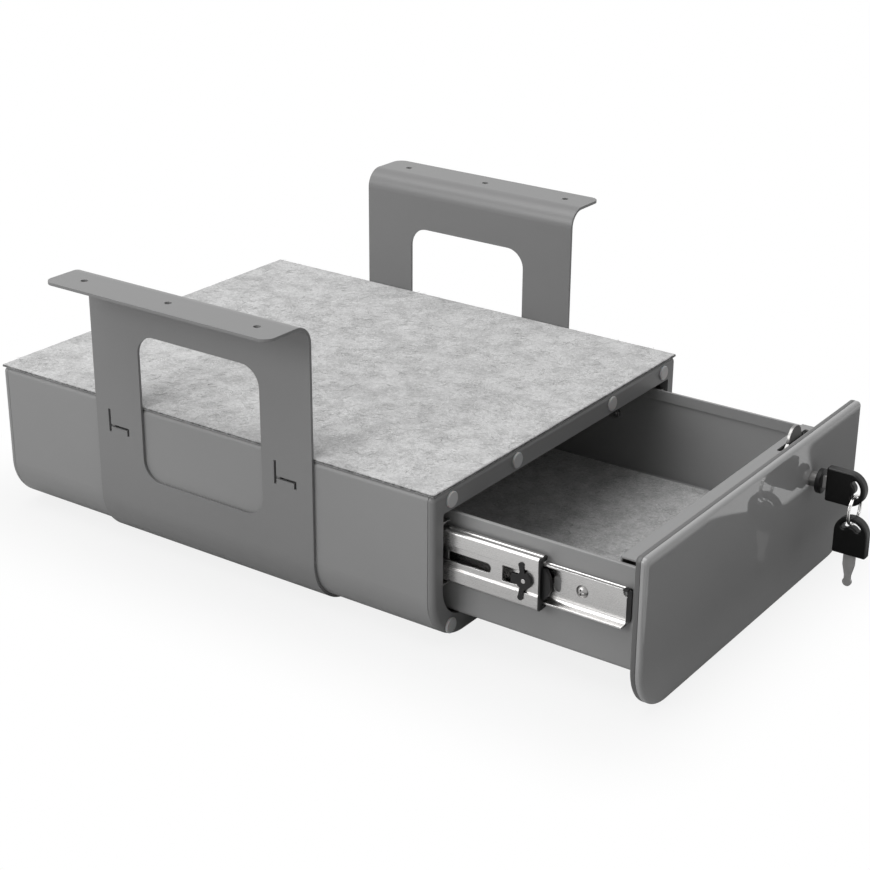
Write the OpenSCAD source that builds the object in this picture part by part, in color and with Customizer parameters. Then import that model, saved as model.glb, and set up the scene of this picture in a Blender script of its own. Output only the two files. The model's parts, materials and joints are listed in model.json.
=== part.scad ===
// Lockable steel drawer that hangs under a desk from two brackets, shown partly open with its key in.
// It is drawn with its underside at z = 0 and its front face at y = 0, opening towards -Y, and then
// moved so that the origin is the centre of the six desk screws, on the underside of the desk.

/* [Housing] */
// Width of the housing across its steel sides
housing_w = 313; // [280:1:400]
// Depth of the housing from its front face to its back
housing_d = 386; // [372:1:470]
// Height of the housing without the felt on top
housing_h = 109; // [102:1:140]
// Outer radius of the two long bottom corners
corner_r = 35; // [28:1:38]
// Outer radius of the two long top edges
top_edge_r = 4; // [4:0.5:6]
// Sheet thickness of the housing, the frame and the drawer
shell_t = 1.2; // [1:0.1:1.5]
// Width of the front frame beside the opening
side_band = 10.3; // [9:0.1:12]
// Height of the front frame above and below the opening
rail_h = 15; // [14:0.5:18]
// Depth of the front frame and of the back cover along the sides
cap_depth = 4.7; // [4.5:0.1:8]
// Thickness of the felt mat on top
felt_t = 2; // [1.5:0.5:4]
// Diameter of the round bumpers on the front frame
bumper_d = 11; // [8:0.5:12]
// Height of the bumpers
bumper_h = 1.5; // [1:0.25:3]

/* [Brackets] */
// Free height between the felt and the underside of the desk
shelf_gap = 94; // [70:1:150]
// Length of each bracket along the drawer
bracket_l = 194; // [180:1:260]
// Sheet thickness of the brackets
bracket_t = 2; // [1.5:0.25:3]
// Reach of the top flange outwards from the side of the housing
flange_reach = 42.5; // [34:0.5:60]
// Inner radius of the bend below the top flange
flange_bend_r = 12; // [6:1:16]
// Distance of the desk screws from the side of the housing
screw_out = 26; // [22:0.5:30]
// Distance between neighbouring desk screws of one bracket
screw_pitch = 75; // [60:1:85]
// Diameter of the desk screw holes
desk_hole_d = 5; // [4:0.5:6]
// Length and height of the window in each bracket
window_s = 108; // [90:1:120]
// Corner radius of the window
window_r = 15; // [8:1:20]
// Reach of the bottom flange under the housing
foot_reach = 95; // [70:1:110]

/* [Drawer] */
// Opening of the drawer as it is shown, measured from closed
drawer_open = 141.6; // [100:0.1:200]
// Full travel of the slides
travel = 350; // [300:1:360]
// Clearance between the bottom of the opening and the drawer
drawer_lift = 3.2; // [2:0.1:5]
// Clearance between the drawer walls and the top rail
drawer_top_gap = 3.8; // [3:0.1:6]
// Depth of the box behind the front panel that holds the lock
lock_box_d = 24.1; // [23.5:0.1:32]
// Clearance at each side of the front panel to the side of the housing
panel_inset = 1.5; // [1:0.1:5]
// Total thickness of the front panel
panel_t = 8.5; // [7:0.1:12]
// Radius of the rounded rim of the front panel
panel_edge_r = 2.6; // [2:0.1:3.5]
// Thickness of the felt liner in the drawer
liner_t = 1.5; // [1:0.5:3]

/* [Slides] */
// Height of the cabinet member of the slides
slide_h = 45; // [38:0.1:54]
// Free height of the outer ball tracks, between the cabinet member and the middle member
outer_track = 3.15; // [2.9:0.05:3.3]
// Free height of the inner ball tracks, between the middle member and the drawer member
inner_track = 3.05; // [2.85:0.05:3.25]
// Thickness of a whole slide
slide_t = 12.7; // [12.5:0.1:13]
// Sheet thickness of the slide members
slide_sheet = 1.2; // [1:0.05:1.3]
// Height of the slides above the underside of the drawer
slide_lift = 45.2; // [40:0.1:48]
// Length of the cabinet member
slide_l = 350; // [340:1:352]

/* [Lock and keys] */
// Distance of the lock from the middle of the panel
lock_x = 77; // [40:1:85]
// Height of the lock above the underside of the housing
lock_z = 78; // [70:0.5:80]
// Diameter of the lock's body
barrel_d = 16; // [15:0.5:18]
// Diameter of the plug that the key turns
plug_d = 10.4; // [10:0.1:12]
// Length of the straight part of a key head
head_straight = 16.4; // [14:0.1:20]
// Radius of the round end of a key head
head_r = 12.4; // [11.5:0.1:14]
// Thickness of a key head
head_t = 7; // [5:0.5:8]
// Length of a key blade that shows below its head
blade_l = 24.4; // [22:0.1:28]
// Centre diameter of the split ring
ring_d = 20.5; // [20:0.5:26]

/* [Hidden] */
$fn = 64;

// Colours of the finishes
grey_paint = "#8a8a8a";
dark_paint = "#5c5c5c";
zinc = "#c9cac6";
black_plastic = "#1b1b1b";
felt_grey = "#c4c4c2";
clear_grey = "#b9babb";

// One overrun for every cut, and the small gap between parts that are fastened together
over = 1;
seat_gap = 0.15;
half_w = housing_w / 2;

// Heights, with the underside of the housing at zero
open_z0 = rail_h;
open_z1 = housing_h - rail_h;
open_w = housing_w - 2 * side_band;
open_r = corner_r - side_band;
open_top_r = 1.5;
felt_z = housing_h + felt_t;
desk_z = felt_z + shelf_gap;
desk_screw_x = half_w + screw_out;

// Places along the drawer, with the front face of the frame at zero
mid_y = housing_d / 2;
bracket_y0 = mid_y - bracket_l / 2;
bracket_y1 = mid_y + bracket_l / 2;
hole_ys = [mid_y - screw_pitch, mid_y, mid_y + screw_pitch];

// How the frame and the back cover fold and lap into the shell
cap_edge_r = 3.5;
cap_lap = 6;
cap_seam = 0.3;
cap_joggle = 1.7;
frame_lip = 6.5;
shell_lip = 18;
plate_lap = 12;
plate_overlap = 3;
bumper_edge = 0.5;
bumper_in = 8.7;
bumper_mid_x = 62;
bumper_low = 4.1;

// How the brackets grip the housing
window_gap = 54;
window_z1 = felt_z + window_gap;
foot_corner_r = 10;
flange_corner_r = 8;
slit_w = 2;
lug_rise = 0.2;
tab_w = 17;
tab_z0 = 89.6;
tab_h = 13.1;
tab_tail = 4;
lug_w = 13;
lug_h = 5;
lug_reach = 3;
lug_drop = 4;
lug_t = 1.5;
lug_clear = 0.6;
foot_screw_in = 70;
foot_screw_d = 4;
foot_head_d = 7.6;
foot_nut_h = 3.2;
small_nut_af = 7;
nut_clear = 0.1;
hole_clear = 0.2;

// The drawer follows the opening
slide_seat = 1.05;
drawer_w = open_w - 2 * (slide_t + slide_seat);
drawer_z0 = open_z0 + drawer_lift;
drawer_z1 = open_z1 - drawer_top_gap;
drawer_bend_r = 3;
hem_h = 8;
hem_t = 1.8;
box_rise = 2.6;
box_top = drawer_z1 + box_rise;
box_gap_x = 2.9;
closed_gap = bumper_h + 0.2;
panel_back_y = -drawer_open - closed_gap;
panel_front_y = panel_back_y - panel_t;
box_back_y = panel_back_y + lock_box_d;
tray_back_gap = 20;
tray_back_y = housing_d - drawer_open - tray_back_gap;
tray_front_y = panel_back_y + seat_gap;
panel_drop = 0.8;
panel_rise = 2;
panel_w = housing_w - 2 * panel_inset;
panel_h = housing_h + panel_rise;
panel_screw_in = 16;
panel_split = 4.1;
panel_seam = 0.25;
panel_top_r = 4;
liner_gap = 0.6;

// The slides, measured from the cabinet side (u) and from the slide's middle height (v)
slide_z = drawer_z0 + slide_lift;
slide_x = drawer_w / 2 + slide_t;
slide_y0 = 2.5;
run_gap = 0.3;
retainer_t = 0.5;
strip_t = 0.9;
outer_flange_u = 10.6;
middle_u = slide_sheet + 2 * run_gap + retainer_t;
web_step = 1.5;
middle_web_u = middle_u + web_step;
middle_flange_u = 10.4;
middle_strip = 9.9;
middle_bend_r = 1.8;
inner_bend_r = 4;
cage_u = middle_web_u + slide_sheet + run_gap;
inner_u = cage_u + retainer_t + run_gap;
race_clear = 0.05;
middle_h = slide_h - 2 * slide_sheet - 2 * outer_track;
inner_h = middle_h - 2 * slide_sheet - 2 * inner_track;
outer_ball_r = 2.1;
outer_ball_u = 6.6;
outer_ball_v = (slide_h / 2 - slide_sheet + middle_h / 2) / 2;
inner_ball_r = 2.2;
inner_ball_u = 8.6;
inner_ball_v = (middle_h / 2 - slide_sheet + inner_h / 2) / 2;
middle_share = 0.58;
middle_l = 330;
middle_home = 12.5;
middle_front = middle_home - middle_share * drawer_open;
inner_l = 328;
inner_home = 13.8;
inner_front = inner_home - drawer_open;
outer_cage_y0 = 65;
outer_cage_l = 120;
inner_cage_y0 = 0;
inner_cage_l = 90;
ball_pitch = 12;
cage_margin = 6;

// Holes and small parts of the slides
slide_screw_ys = [40, 170, 310];
slide_screw_d = 4;
slide_head_d = 7;
drawer_screw_shares = [0.096, 0.495, 0.9];
drawer_screw_d = 4;
drawer_head_d = 9.2;
drawer_head_h = 2.4;
drawer_head_sphere_r = 5.2;
cross_l = 4.6;
cross_w = 1.1;
cross_deep = 1.3;
drawer_slot_l = 6.5;
stop_slot_y = 49.4;
stop_slot_w = 5;
stop_slot_h = 10.5;
end_notch_drop = 5.3;
end_notch_r = 2.6;
end_corner_r = 6;
end_strip_l = 3.4;
middle_slot_y0 = 36.2;
middle_slot_l = 90;
middle_slot_h = 7;
latch_y = 10.6;
latch_window_y = 14.6;
latch_window_l = 13;
latch_window_h = 11;
guide_out = 7.4;
guide_in = 8;
guide_half_h = 11;
guide_nose_r = 15;
guide_u1 = 8;
guide_cap_l = 1.5;
guide_cap_side = 0.35;
guide_cap_gap = 1.4;
guide_seat = 0.05;
lever_pin_r = 1.5;
lever_pin_gap = 0.08;
lever_hub_r = 5.7;
lever_arm_w = 3.4;
lever_knob_r = 2;
lever_low_l = 12;
lever_high_l = 10.8;
lever_lean = 9;
lever_arm_u0 = slide_sheet + run_gap;
lever_arm_u1 = middle_u - 0.1;
lever_body_u1 = middle_web_u - 0.15;
lever_toe = 9;
lever_toe_h = 7;
stop_block_l = 8.5;
stop_block_half_h = 10;
rail_half_h = 24;
rail_foot = 4;
rail_hole_clear = 0.5;
lug_room = 1.5;
rail_l = 340;
rail_y0 = 12;
rail_nut_h = 3.2;

// The lock
lock_flange_w = 1.5;
lock_flange_t = 1.2;
nose_l = 5.5;
dial_over = 0.75;
dial_t = 3;
barrel_l = 20;
plug_gap = 0.05;
plug_hole_gap = 0.3;
plug_tail_d = 7;
keyway_w = 2.4;
keyway_h = 9;
lock_nut_wall = 3.5;
nut_h = 5;
barrel_hole_gap = 0.15;
hook_t = 2;
hook_hub_r = 9;
hook_arm_w = 10.4;
hook_tip_r = 10;
hook_tip_x = 21.5;
hook_tip_z = 15.7;
hook_back = 24.2;
hook_front_y = panel_front_y + hook_back;
hook_head_d = 9;
hook_head_h = 3;
hook_slot_l = 46.7;
hook_slot_w = 3.4;
hook_slot_x = 20.7;

// The keys
blade_t = 2;
blade_h = 8.6;
key_stand = 3;
keyway_clear = 0.5;
loop_r0 = 4.8;
loop_r1 = 8.8;
loop_angle = 50;
ring_angle = 45;
wire_r = 0.65;
wire_pitch = 1.2;
blade_end_h = 4.7;
blade_tip_r = 3.25;
ring_clear = 0.75;
key_head_y = panel_front_y - nose_l - seat_gap - dial_t - key_stand;
key_eye_y = key_head_y - head_straight;
loop_mid_r = (loop_r0 + loop_r1) / 2;
ring_y = key_eye_y - loop_mid_r * cos(ring_angle);
ring_z = lock_z - loop_mid_r * sin(ring_angle) - ring_d / 2;
wire_top = sqrt(pow(ring_d / 2 - wire_r, 2) - pow(head_t / 2, 2));
spare_eye_z = ring_z - wire_top + ring_clear - loop_r1;

// Moves everything from the drawing's place to the origin between the desk screws
module placed() {
    translate([0, -mid_y, -desk_z]) children();
}

// Extrudes an outline in x and z along the drawer, from y0 to y1
module along(y0, y1) {
    translate([0, y1, 0]) rotate([90, 0, 0]) linear_extrude(y1 - y0) children();
}

// Copies a piece of the right side to the left
module left_side() {
    mirror([1, 0, 0]) children();
}

// Outline of the housing: two large corners below and two small ones above
module body_2d(w, h, rb, rt) {
    translate([-w / 2, rb]) square([w, h - rb - rt]);
    translate([-w / 2 + rb, 0]) square([w - 2 * rb, rb]);
    translate([-w / 2 + rt, h - rt]) square([w - 2 * rt, rt]);
    for (side = [-1, 1]) {
        translate([side * (w / 2 - rb), rb]) circle(rb);
        translate([side * (w / 2 - rt), h - rt]) circle(rt);
    }
}

// Rectangle with four equal round corners, centred
module round_2d(w, h, r) {
    square([w - 2 * r, h], center = true);
    square([w, h - 2 * r], center = true);
    for (x = [-1, 1], y = [-1, 1]) translate([x * (w / 2 - r), y * (h / 2 - r)]) circle(r);
}

// Sweeps a fold round the outline of body_2d: its x runs inwards and its y runs into the depth
module folded_rim(w, h, rb, rt) {
    for (side = [0, 1]) mirror([side, 0, 0]) {
        translate([-w / 2, 0, rb]) linear_extrude(h - rb - rt) children();
        translate([-w / 2 + rb, 0, rb]) rotate([-90, 0, 0]) rotate([0, 0, 90])
            rotate_extrude(angle = 90) translate([rb, 0]) mirror([1, 0]) children();
        translate([-w / 2 + rt, 0, h - rt]) rotate([-90, 0, 0]) rotate([0, 0, 180])
            rotate_extrude(angle = 90) translate([rt, 0]) mirror([1, 0]) children();
        rotate([0, -90, 0]) linear_extrude(w / 2 - rb) children();
        translate([0, 0, h]) mirror([0, 0, 1]) rotate([0, -90, 0]) linear_extrude(w / 2 - rt) children();
    }
}

// Rounded fold of a sheet between a face and a side that is depth deep
module fold_2d(r, t, depth) {
    translate([0, r]) square([t, depth - r]);
    intersection() {
        difference() {
            translate([r, r]) circle(r);
            translate([r, r]) circle(r - t);
        }
        square([r, r]);
    }
}

// Fold of the frame and of the back cover, with the joggled lap that goes inside the shell
module cap_fold_2d() {
    lap_in = shell_t + seat_gap;
    fold_2d(cap_edge_r, shell_t, cap_depth);
    translate([0, cap_depth - cap_joggle]) square([lap_in + shell_t, cap_joggle]);
    translate([lap_in, cap_depth - cap_joggle]) square([shell_t, cap_lap]);
}

// Frame or back cover without its face
module cap_rim() {
    folded_rim(housing_w, housing_h, corner_r, top_edge_r) cap_fold_2d();
}

// Flat face of the frame or of the back cover, inside the rounded fold
module cap_face_2d() {
    inset = cap_edge_r;
    translate([0, inset])
        body_2d(housing_w - 2 * inset, housing_h - 2 * inset, corner_r - inset, top_edge_r - inset);
}

// Shape of the drawer opening, grown by a margin
module opening_2d(grow) {
    translate([0, open_z0 - grow])
        body_2d(open_w + 2 * grow, open_z1 - open_z0 + 2 * grow, open_r + grow, open_top_r + grow);
}

// Holes of the bracket screws through a floor
module foot_holes(d, z0, depth) {
    for (side = [-1, 1], y = hole_ys)
        translate([side * (half_w - foot_screw_in), y, z0]) cylinder(d = d, h = depth);
}

module housing_shell() color(grey_paint) placed() difference() {
    along(cap_depth + cap_seam, housing_d - cap_depth - cap_seam) difference() {
        body_2d(housing_w, housing_h, corner_r, top_edge_r);
        translate([0, shell_t])
            body_2d(housing_w - 2 * shell_t, housing_h - 2 * shell_t, corner_r - shell_t,
                top_edge_r - shell_t);
        translate([-half_w + shell_lip, housing_h - shell_t - over])
            square([housing_w - 2 * shell_lip, shell_t + 2 * over]);
    }
    foot_holes(foot_screw_d + 2 * hole_clear, -over, shell_t + 2 * over);
    for (side = [-1, 1], y = tab_ys)
        translate([side * half_w, y, lug_z0 - lug_drop + lug_h / 2])
            cube([2 * top_edge_r, lug_w + 2 * lug_clear, lug_h + 2 * lug_drop + 2 * lug_clear],
                center = true);
}

// Top plate between the folded lips, with its edges stepped down under them
module top_plate() color(grey_paint) placed()
along(cap_depth + cap_joggle + cap_lap, housing_d - cap_depth - cap_joggle - cap_lap) {
    plate_x = half_w - shell_lip - cap_seam;
    step_z = housing_h - 2 * shell_t - seat_gap;
    translate([-plate_x, housing_h - shell_t]) square([2 * plate_x, shell_t]);
    for (side = [0, 1]) mirror([side, 0]) {
        translate([plate_x - plate_overlap, step_z]) square([plate_overlap, 2 * shell_t]);
        translate([plate_x - plate_overlap, step_z]) square([plate_overlap + plate_lap, shell_t]);
    }
}

module front_frame() color(dark_paint) placed() {
    cap_rim();
    along(0, shell_t) difference() {
        cap_face_2d();
        opening_2d(0);
    }
    along(0, frame_lip) difference() {
        opening_2d(shell_t);
        opening_2d(0);
    }
}

module back_cover() color(grey_paint) placed() translate([0, housing_d, 0]) mirror([0, 1, 0]) {
    cap_rim();
    along(0, shell_t) cap_face_2d();
}

module top_felt_mat() color(felt_grey) placed()
translate([-half_w, 0, housing_h]) cube([housing_w, housing_d, felt_t]);

// One soft bumper with a bevelled edge, standing on the frame
module bumper() {
    rotate([90, 0, 0]) {
        cylinder(d = bumper_d, h = bumper_h - bumper_edge);
        translate([0, 0, bumper_h - bumper_edge])
            cylinder(d1 = bumper_d, d2 = bumper_d - 2 * bumper_edge, h = bumper_edge);
    }
}

module frame_bumpers() color(clear_grey) placed() {
    bumper_x = open_w / 2 - bumper_in;
    for (x = [-bumper_x, -bumper_mid_x, bumper_mid_x, bumper_x])
        translate([x, 0, housing_h - rail_h / 2]) bumper();
    for (x = [-bumper_x, bumper_x]) translate([x, 0, rail_h - bumper_low]) bumper();
}

// The lanced tabs sit beside the outer desk screws
tab_ys = [hole_ys[0], hole_ys[2]];
lug_z0 = tab_z0 + slit_w + lug_rise;

// Slits that free one lanced tab of a bracket
module tab_slits() {
    translate([0, tab_w / 2, tab_z0 - tab_tail]) cube([bracket_t + 2 * over, slit_w, tab_h + tab_tail]);
    translate([0, -tab_w / 2, tab_z0]) cube([bracket_t + 2 * over, tab_w, slit_w]);
    translate([0, -tab_w / 2, tab_z0 - tab_tail]) cube([bracket_t + 2 * over, slit_w, tab_tail + slit_w]);
}

// Lug behind a tab that goes through the housing's side and hooks down behind it
module tab_lug() {
    web_x = half_w + seat_gap;
    lip_x = half_w - shell_t - lug_reach;
    translate([lip_x, -lug_w / 2, lug_z0]) cube([web_x - lip_x, lug_w, lug_h]);
    translate([lip_x, -lug_w / 2, lug_z0 - lug_drop]) cube([lug_t, lug_w, lug_drop]);
}

// Bent section of the right bracket: web, corner under the housing and bend below the flange
module bracket_2d() {
    web_x = half_w + seat_gap;
    wrap_r = corner_r + seat_gap;
    bend_x = web_x + bracket_t + flange_bend_r;
    bend_z = desk_z - bracket_t - flange_bend_r;
    translate([web_x, corner_r]) square([bracket_t, bend_z - corner_r]);
    intersection() {
        translate([half_w - corner_r, corner_r]) difference() {
            circle(wrap_r + bracket_t);
            circle(wrap_r);
        }
        translate([half_w - corner_r, -bracket_t - seat_gap])
            square([2 * corner_r, corner_r + bracket_t + seat_gap]);
    }
    intersection() {
        translate([bend_x, bend_z]) difference() {
            circle(flange_bend_r + bracket_t);
            circle(flange_bend_r);
        }
        translate([web_x, bend_z]) square([bracket_t + flange_bend_r, bracket_t + flange_bend_r]);
    }
}

// Flat flange with two round free corners, from x0 to x1
module flange(x0, x1, z0, r) {
    translate([0, bracket_y0, z0]) linear_extrude(bracket_t) {
        translate([min(x0, x1 - sign(x1 - x0) * r), 0]) square([abs(x1 - x0) - r, bracket_l]);
        translate([min(x1, x1 - sign(x1 - x0) * r), r]) square([r, bracket_l - 2 * r]);
        for (y = [r, bracket_l - r]) translate([x1 - sign(x1 - x0) * r, y]) circle(r);
    }
}

module bracket() color(grey_paint) placed() {
    difference() {
        union() {
            along(bracket_y0, bracket_y1) bracket_2d();
            flange(half_w + seat_gap + bracket_t + flange_bend_r, half_w + flange_reach, desk_z - bracket_t,
                flange_corner_r);
            flange(half_w - corner_r, half_w - foot_reach, -bracket_t - seat_gap, foot_corner_r);
        }
        translate([half_w - over, mid_y, window_z1 - window_s / 2]) rotate([90, 0, 90])
            linear_extrude(bracket_t + 2 * over) round_2d(window_s, window_s, window_r);
        for (y = hole_ys)
            translate([desk_screw_x, y, desk_z - bracket_t - over])
                cylinder(d = desk_hole_d, h = bracket_t + 2 * over);
        for (y = tab_ys) translate([half_w - over + seat_gap, y, 0]) tab_slits();
        for (y = hole_ys) translate([half_w - foot_screw_in, y, -bracket_t - seat_gap])
            foot_screw_shape(hole_clear);
    }
    for (y = tab_ys) translate([0, y, 0]) tab_lug();
}

module bracket_right() bracket();
module bracket_left() left_side() bracket();

// Countersunk screw, head down, with its head's face at z = 0
module foot_screw_shape(grow) {
    head_h = (foot_head_d - foot_screw_d) / 2;
    cylinder(d1 = foot_head_d + 2 * grow, d2 = foot_screw_d + 2 * grow, h = head_h);
    cylinder(d = foot_screw_d + 2 * grow, h = bracket_t + seat_gap + shell_t + foot_nut_h + over);
}

module bracket_screws() color(zinc) placed()
for (side = [-1, 1], y = hole_ys)
    translate([side * (half_w - foot_screw_in), y, -bracket_t - seat_gap]) foot_screw_shape(0);

// Hexagon nut with a round bore
module hex_nut(af, bore_d, h) {
    difference() {
        cylinder(d = af / cos(30), h = h, $fn = 6);
        translate([0, 0, -over]) cylinder(d = bore_d, h = h + 2 * over);
    }
}

module bracket_nuts() color(zinc) placed()
for (side = [-1, 1], y = hole_ys)
    translate([side * (half_w - foot_screw_in), y, shell_t])
        hex_nut(small_nut_af, foot_screw_d + 2 * nut_clear, foot_nut_h);

// Places a slide part of the right side: x becomes the distance u from the cabinet, z the height v
module slide_place() {
    translate([slide_x, 0, slide_z]) mirror([1, 0, 0]) children();
}

// Hat section that carries a slide on the housing's side
module slide_rail() color(dark_paint) placed() {
    wall_x = half_w - shell_t;
    depth = wall_x - slide_x;
    difference() {
        translate([slide_x, 0, slide_z]) along(rail_y0, rail_y0 + rail_l) {
            translate([0, -rail_half_h]) square([shell_t, 2 * rail_half_h]);
            for (side = [-1, 1]) {
                translate([0, side > 0 ? rail_half_h - shell_t : -rail_half_h]) square([depth, shell_t]);
                translate([depth - shell_t, side > 0 ? rail_half_h - shell_t : -rail_half_h - rail_foot])
                    square([shell_t, rail_foot + shell_t]);
            }
        }
        for (y = slide_screw_ys) translate([slide_x - over, y, slide_z]) rotate([0, 90, 0])
            cylinder(d = slide_screw_d + 2 * rail_hole_clear, h = shell_t + 2 * over);
        for (y = tab_ys)
            translate([wall_x - lug_reach - lug_room, y - lug_w / 2 - lug_room, lug_z0 - 2 * lug_drop])
            cube([2 * lug_reach + lug_room, lug_w + 2 * lug_room, lug_h + 3 * lug_drop]);
    }
}

module slide_rail_right() slide_rail();
module slide_rail_left() left_side() slide_rail();

// Groove of a ball race, above and below
module races_2d(u, v, r) {
    for (side = [-1, 1]) translate([u, side * v]) circle(r + race_clear);
}

module slide_outer_2d() {
    difference() {
        union() {
            translate([0, -slide_h / 2]) square([slide_sheet, slide_h]);
            for (side = [-1, 1])
                translate([0, side > 0 ? slide_h / 2 - slide_sheet : -slide_h / 2])
                    square([outer_flange_u, slide_sheet]);
        }
        races_2d(outer_ball_u, outer_ball_v, outer_ball_r);
    }
}

// Countersunk screw of the cabinet member, pointing away from the drawer
module outer_screw(grow) {
    head_h = (slide_head_d - slide_screw_d) / 2;
    translate([slide_sheet, 0, 0]) rotate([0, -90, 0]) {
        cylinder(d1 = slide_head_d + 2 * grow, d2 = slide_screw_d + 2 * grow, h = head_h);
        cylinder(d = slide_screw_d + 2 * grow, h = slide_sheet + shell_t + rail_nut_h + 2 * over);
    }
}

module slide_outer() color(zinc) placed() slide_place() difference() {
    along(slide_y0, slide_y0 + slide_l) slide_outer_2d();
    for (y = slide_screw_ys) translate([0, y, 0]) outer_screw(hole_clear);
}

module slide_outer_right() slide_outer();
module slide_outer_left() left_side() slide_outer();

module slide_outer_screws() color(zinc) placed() for (side = [0, 1]) mirror([side, 0, 0]) slide_place()
for (y = slide_screw_ys) translate([0, y, 0]) {
    outer_screw(0);
    translate([-shell_t - seat_gap, 0, 0]) rotate([0, -90, 0])
        cylinder(d = slide_head_d, h = rail_nut_h, $fn = 6);
}

// Plastic block that stops the middle member at the back of the cabinet member
module slide_stop() color(black_plastic) placed() slide_place()
translate([slide_sheet, slide_y0 + slide_l - stop_block_l, -stop_block_half_h])
    cube([inner_u - slide_sheet, stop_block_l, 2 * stop_block_half_h]);

module slide_stop_right() slide_stop();
module slide_stop_left() left_side() slide_stop();

// Ball cage: a thin web and two strips with a hole for each ball
module cage(web_u, u1, v, y0, len, ball_u, ball_r) {
    count = floor((len - 2 * cage_margin) / ball_pitch) + 1;
    difference() {
        along(y0, y0 + len) {
            translate([web_u, -v]) square([retainer_t, 2 * v]);
            for (side = [-1, 1])
                translate([web_u, side * v - strip_t / 2]) square([u1 - web_u, strip_t]);
        }
        for (side = [-1, 1], i = [0 : count - 1])
            translate([ball_u, y0 + cage_margin + i * ball_pitch, side * v - strip_t])
                cylinder(r = ball_r + race_clear, h = 2 * strip_t);
    }
}

// Balls of one cage
module balls(v, y0, len, ball_u, ball_r) {
    count = floor((len - 2 * cage_margin) / ball_pitch) + 1;
    for (side = [-1, 1], i = [0 : count - 1])
        translate([ball_u, y0 + cage_margin + i * ball_pitch, side * v]) sphere(ball_r, $fn = 32);
}

module outer_retainer() color(zinc) placed() slide_place()
    cage(slide_sheet + run_gap, outer_flange_u - over, outer_ball_v, outer_cage_y0, outer_cage_l,
        outer_ball_u, outer_ball_r);
module outer_retainer_right() outer_retainer();
module outer_retainer_left() left_side() outer_retainer();

module outer_balls() color("silver") placed() slide_place()
    balls(outer_ball_v, outer_cage_y0, outer_cage_l, outer_ball_u, outer_ball_r);
module outer_balls_right() outer_balls();
module outer_balls_left() left_side() outer_balls();

module inner_retainer() color(zinc) placed() slide_place()
    cage(cage_u, middle_flange_u + over, inner_ball_v, inner_cage_y0, inner_cage_l,
        inner_ball_u, inner_ball_r);
module inner_retainer_right() inner_retainer();
module inner_retainer_left() left_side() inner_retainer();

module inner_balls() color("silver") placed() slide_place()
    balls(inner_ball_v, inner_cage_y0, inner_cage_l, inner_ball_u, inner_ball_r);
module inner_balls_right() inner_balls();
module inner_balls_left() left_side() inner_balls();

// Quarter ring of a bent sheet, round the middle of its bend
module bend_2d(r) {
    intersection() {
        difference() {
            circle(r);
            circle(r - slide_sheet);
        }
        square([r, r]);
    }
}

// Section of the middle member: a set-back web between two raised strips with flanges
module slide_middle_2d() {
    half_h = middle_h / 2;
    step_v = half_h - middle_strip;
    bend_r = middle_bend_r;
    difference() {
        union() {
            translate([middle_web_u, -step_v - slide_sheet])
                square([slide_sheet, 2 * (step_v + slide_sheet)]);
            for (side = [0, 1]) mirror([0, side]) {
                translate([middle_u, step_v]) square([web_step + slide_sheet, slide_sheet]);
                translate([middle_u, step_v]) square([slide_sheet, middle_strip - bend_r]);
                translate([middle_u + bend_r, half_h - bend_r]) mirror([1, 0]) bend_2d(bend_r);
                translate([middle_u + bend_r, half_h - slide_sheet])
                    square([middle_flange_u - middle_u - bend_r, slide_sheet]);
            }
        }
        races_2d(outer_ball_u, outer_ball_v, outer_ball_r);
        races_2d(inner_ball_u, inner_ball_v, inner_ball_r);
    }
}

module slide_middle() color(zinc) placed() slide_place() {
    difference() {
        along(middle_front, middle_front + middle_l) slide_middle_2d();
        translate([0, middle_front + middle_slot_y0 + middle_slot_l / 2, 0]) rotate([90, 0, 90])
            linear_extrude(cage_u) round_2d(middle_slot_l, middle_slot_h, middle_slot_h / 2 - hole_clear);
        translate([0, middle_front + latch_window_y, -latch_window_h / 2])
            cube([cage_u, latch_window_l, latch_window_h]);
    }
    translate([lever_arm_u0, middle_front + latch_y, 0]) rotate([0, 90, 0])
        cylinder(r = lever_pin_r, h = middle_web_u - lever_arm_u0 + slide_sheet / 2);
}

module slide_middle_right() slide_middle();
module slide_middle_left() left_side() slide_middle();

// Plastic guide of the middle member: a cap on its front end and a tongue with a round nose
module middle_guide() color(black_plastic) placed() slide_place() {
    front = middle_front - guide_out;
    cap_half_h = middle_h / 2 - guide_cap_side;
    arm_v = inner_h / 2 + guide_cap_gap;
    along(middle_front - guide_cap_l, middle_front - seat_gap) {
        translate([middle_u, -cap_half_h]) square([cage_u + retainer_t - middle_u, 2 * cap_half_h]);
        for (side = [0, 1]) mirror([0, side]) translate([middle_u, arm_v])
            square([middle_flange_u - middle_u, cap_half_h - arm_v]);
    }
    translate([middle_web_u + slide_sheet + guide_seat, 0, 0]) rotate([90, 0, 90])
        linear_extrude(guide_u1 - middle_web_u - slide_sheet) intersection() {
            translate([front, -guide_half_h]) square([guide_out + guide_in, 2 * guide_half_h]);
            translate([front + guide_nose_r, 0]) circle(guide_nose_r);
        }
}

module middle_guide_right() middle_guide();
module middle_guide_left() left_side() middle_guide();

// One arm of the release lever, with a round knob at its end, leaning back from the hub
module lever_arm(len, lean) {
    arm_t = lever_arm_u1 - lever_arm_u0;
    rotate([lean, 0, 0]) {
        translate([lever_arm_u0, -lever_arm_w / 2, min(0, len)]) cube([arm_t, lever_arm_w, abs(len)]);
        translate([lever_arm_u0, 0, len]) rotate([0, 90, 0]) cylinder(r = lever_knob_r, h = arm_t);
    }
}

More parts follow.
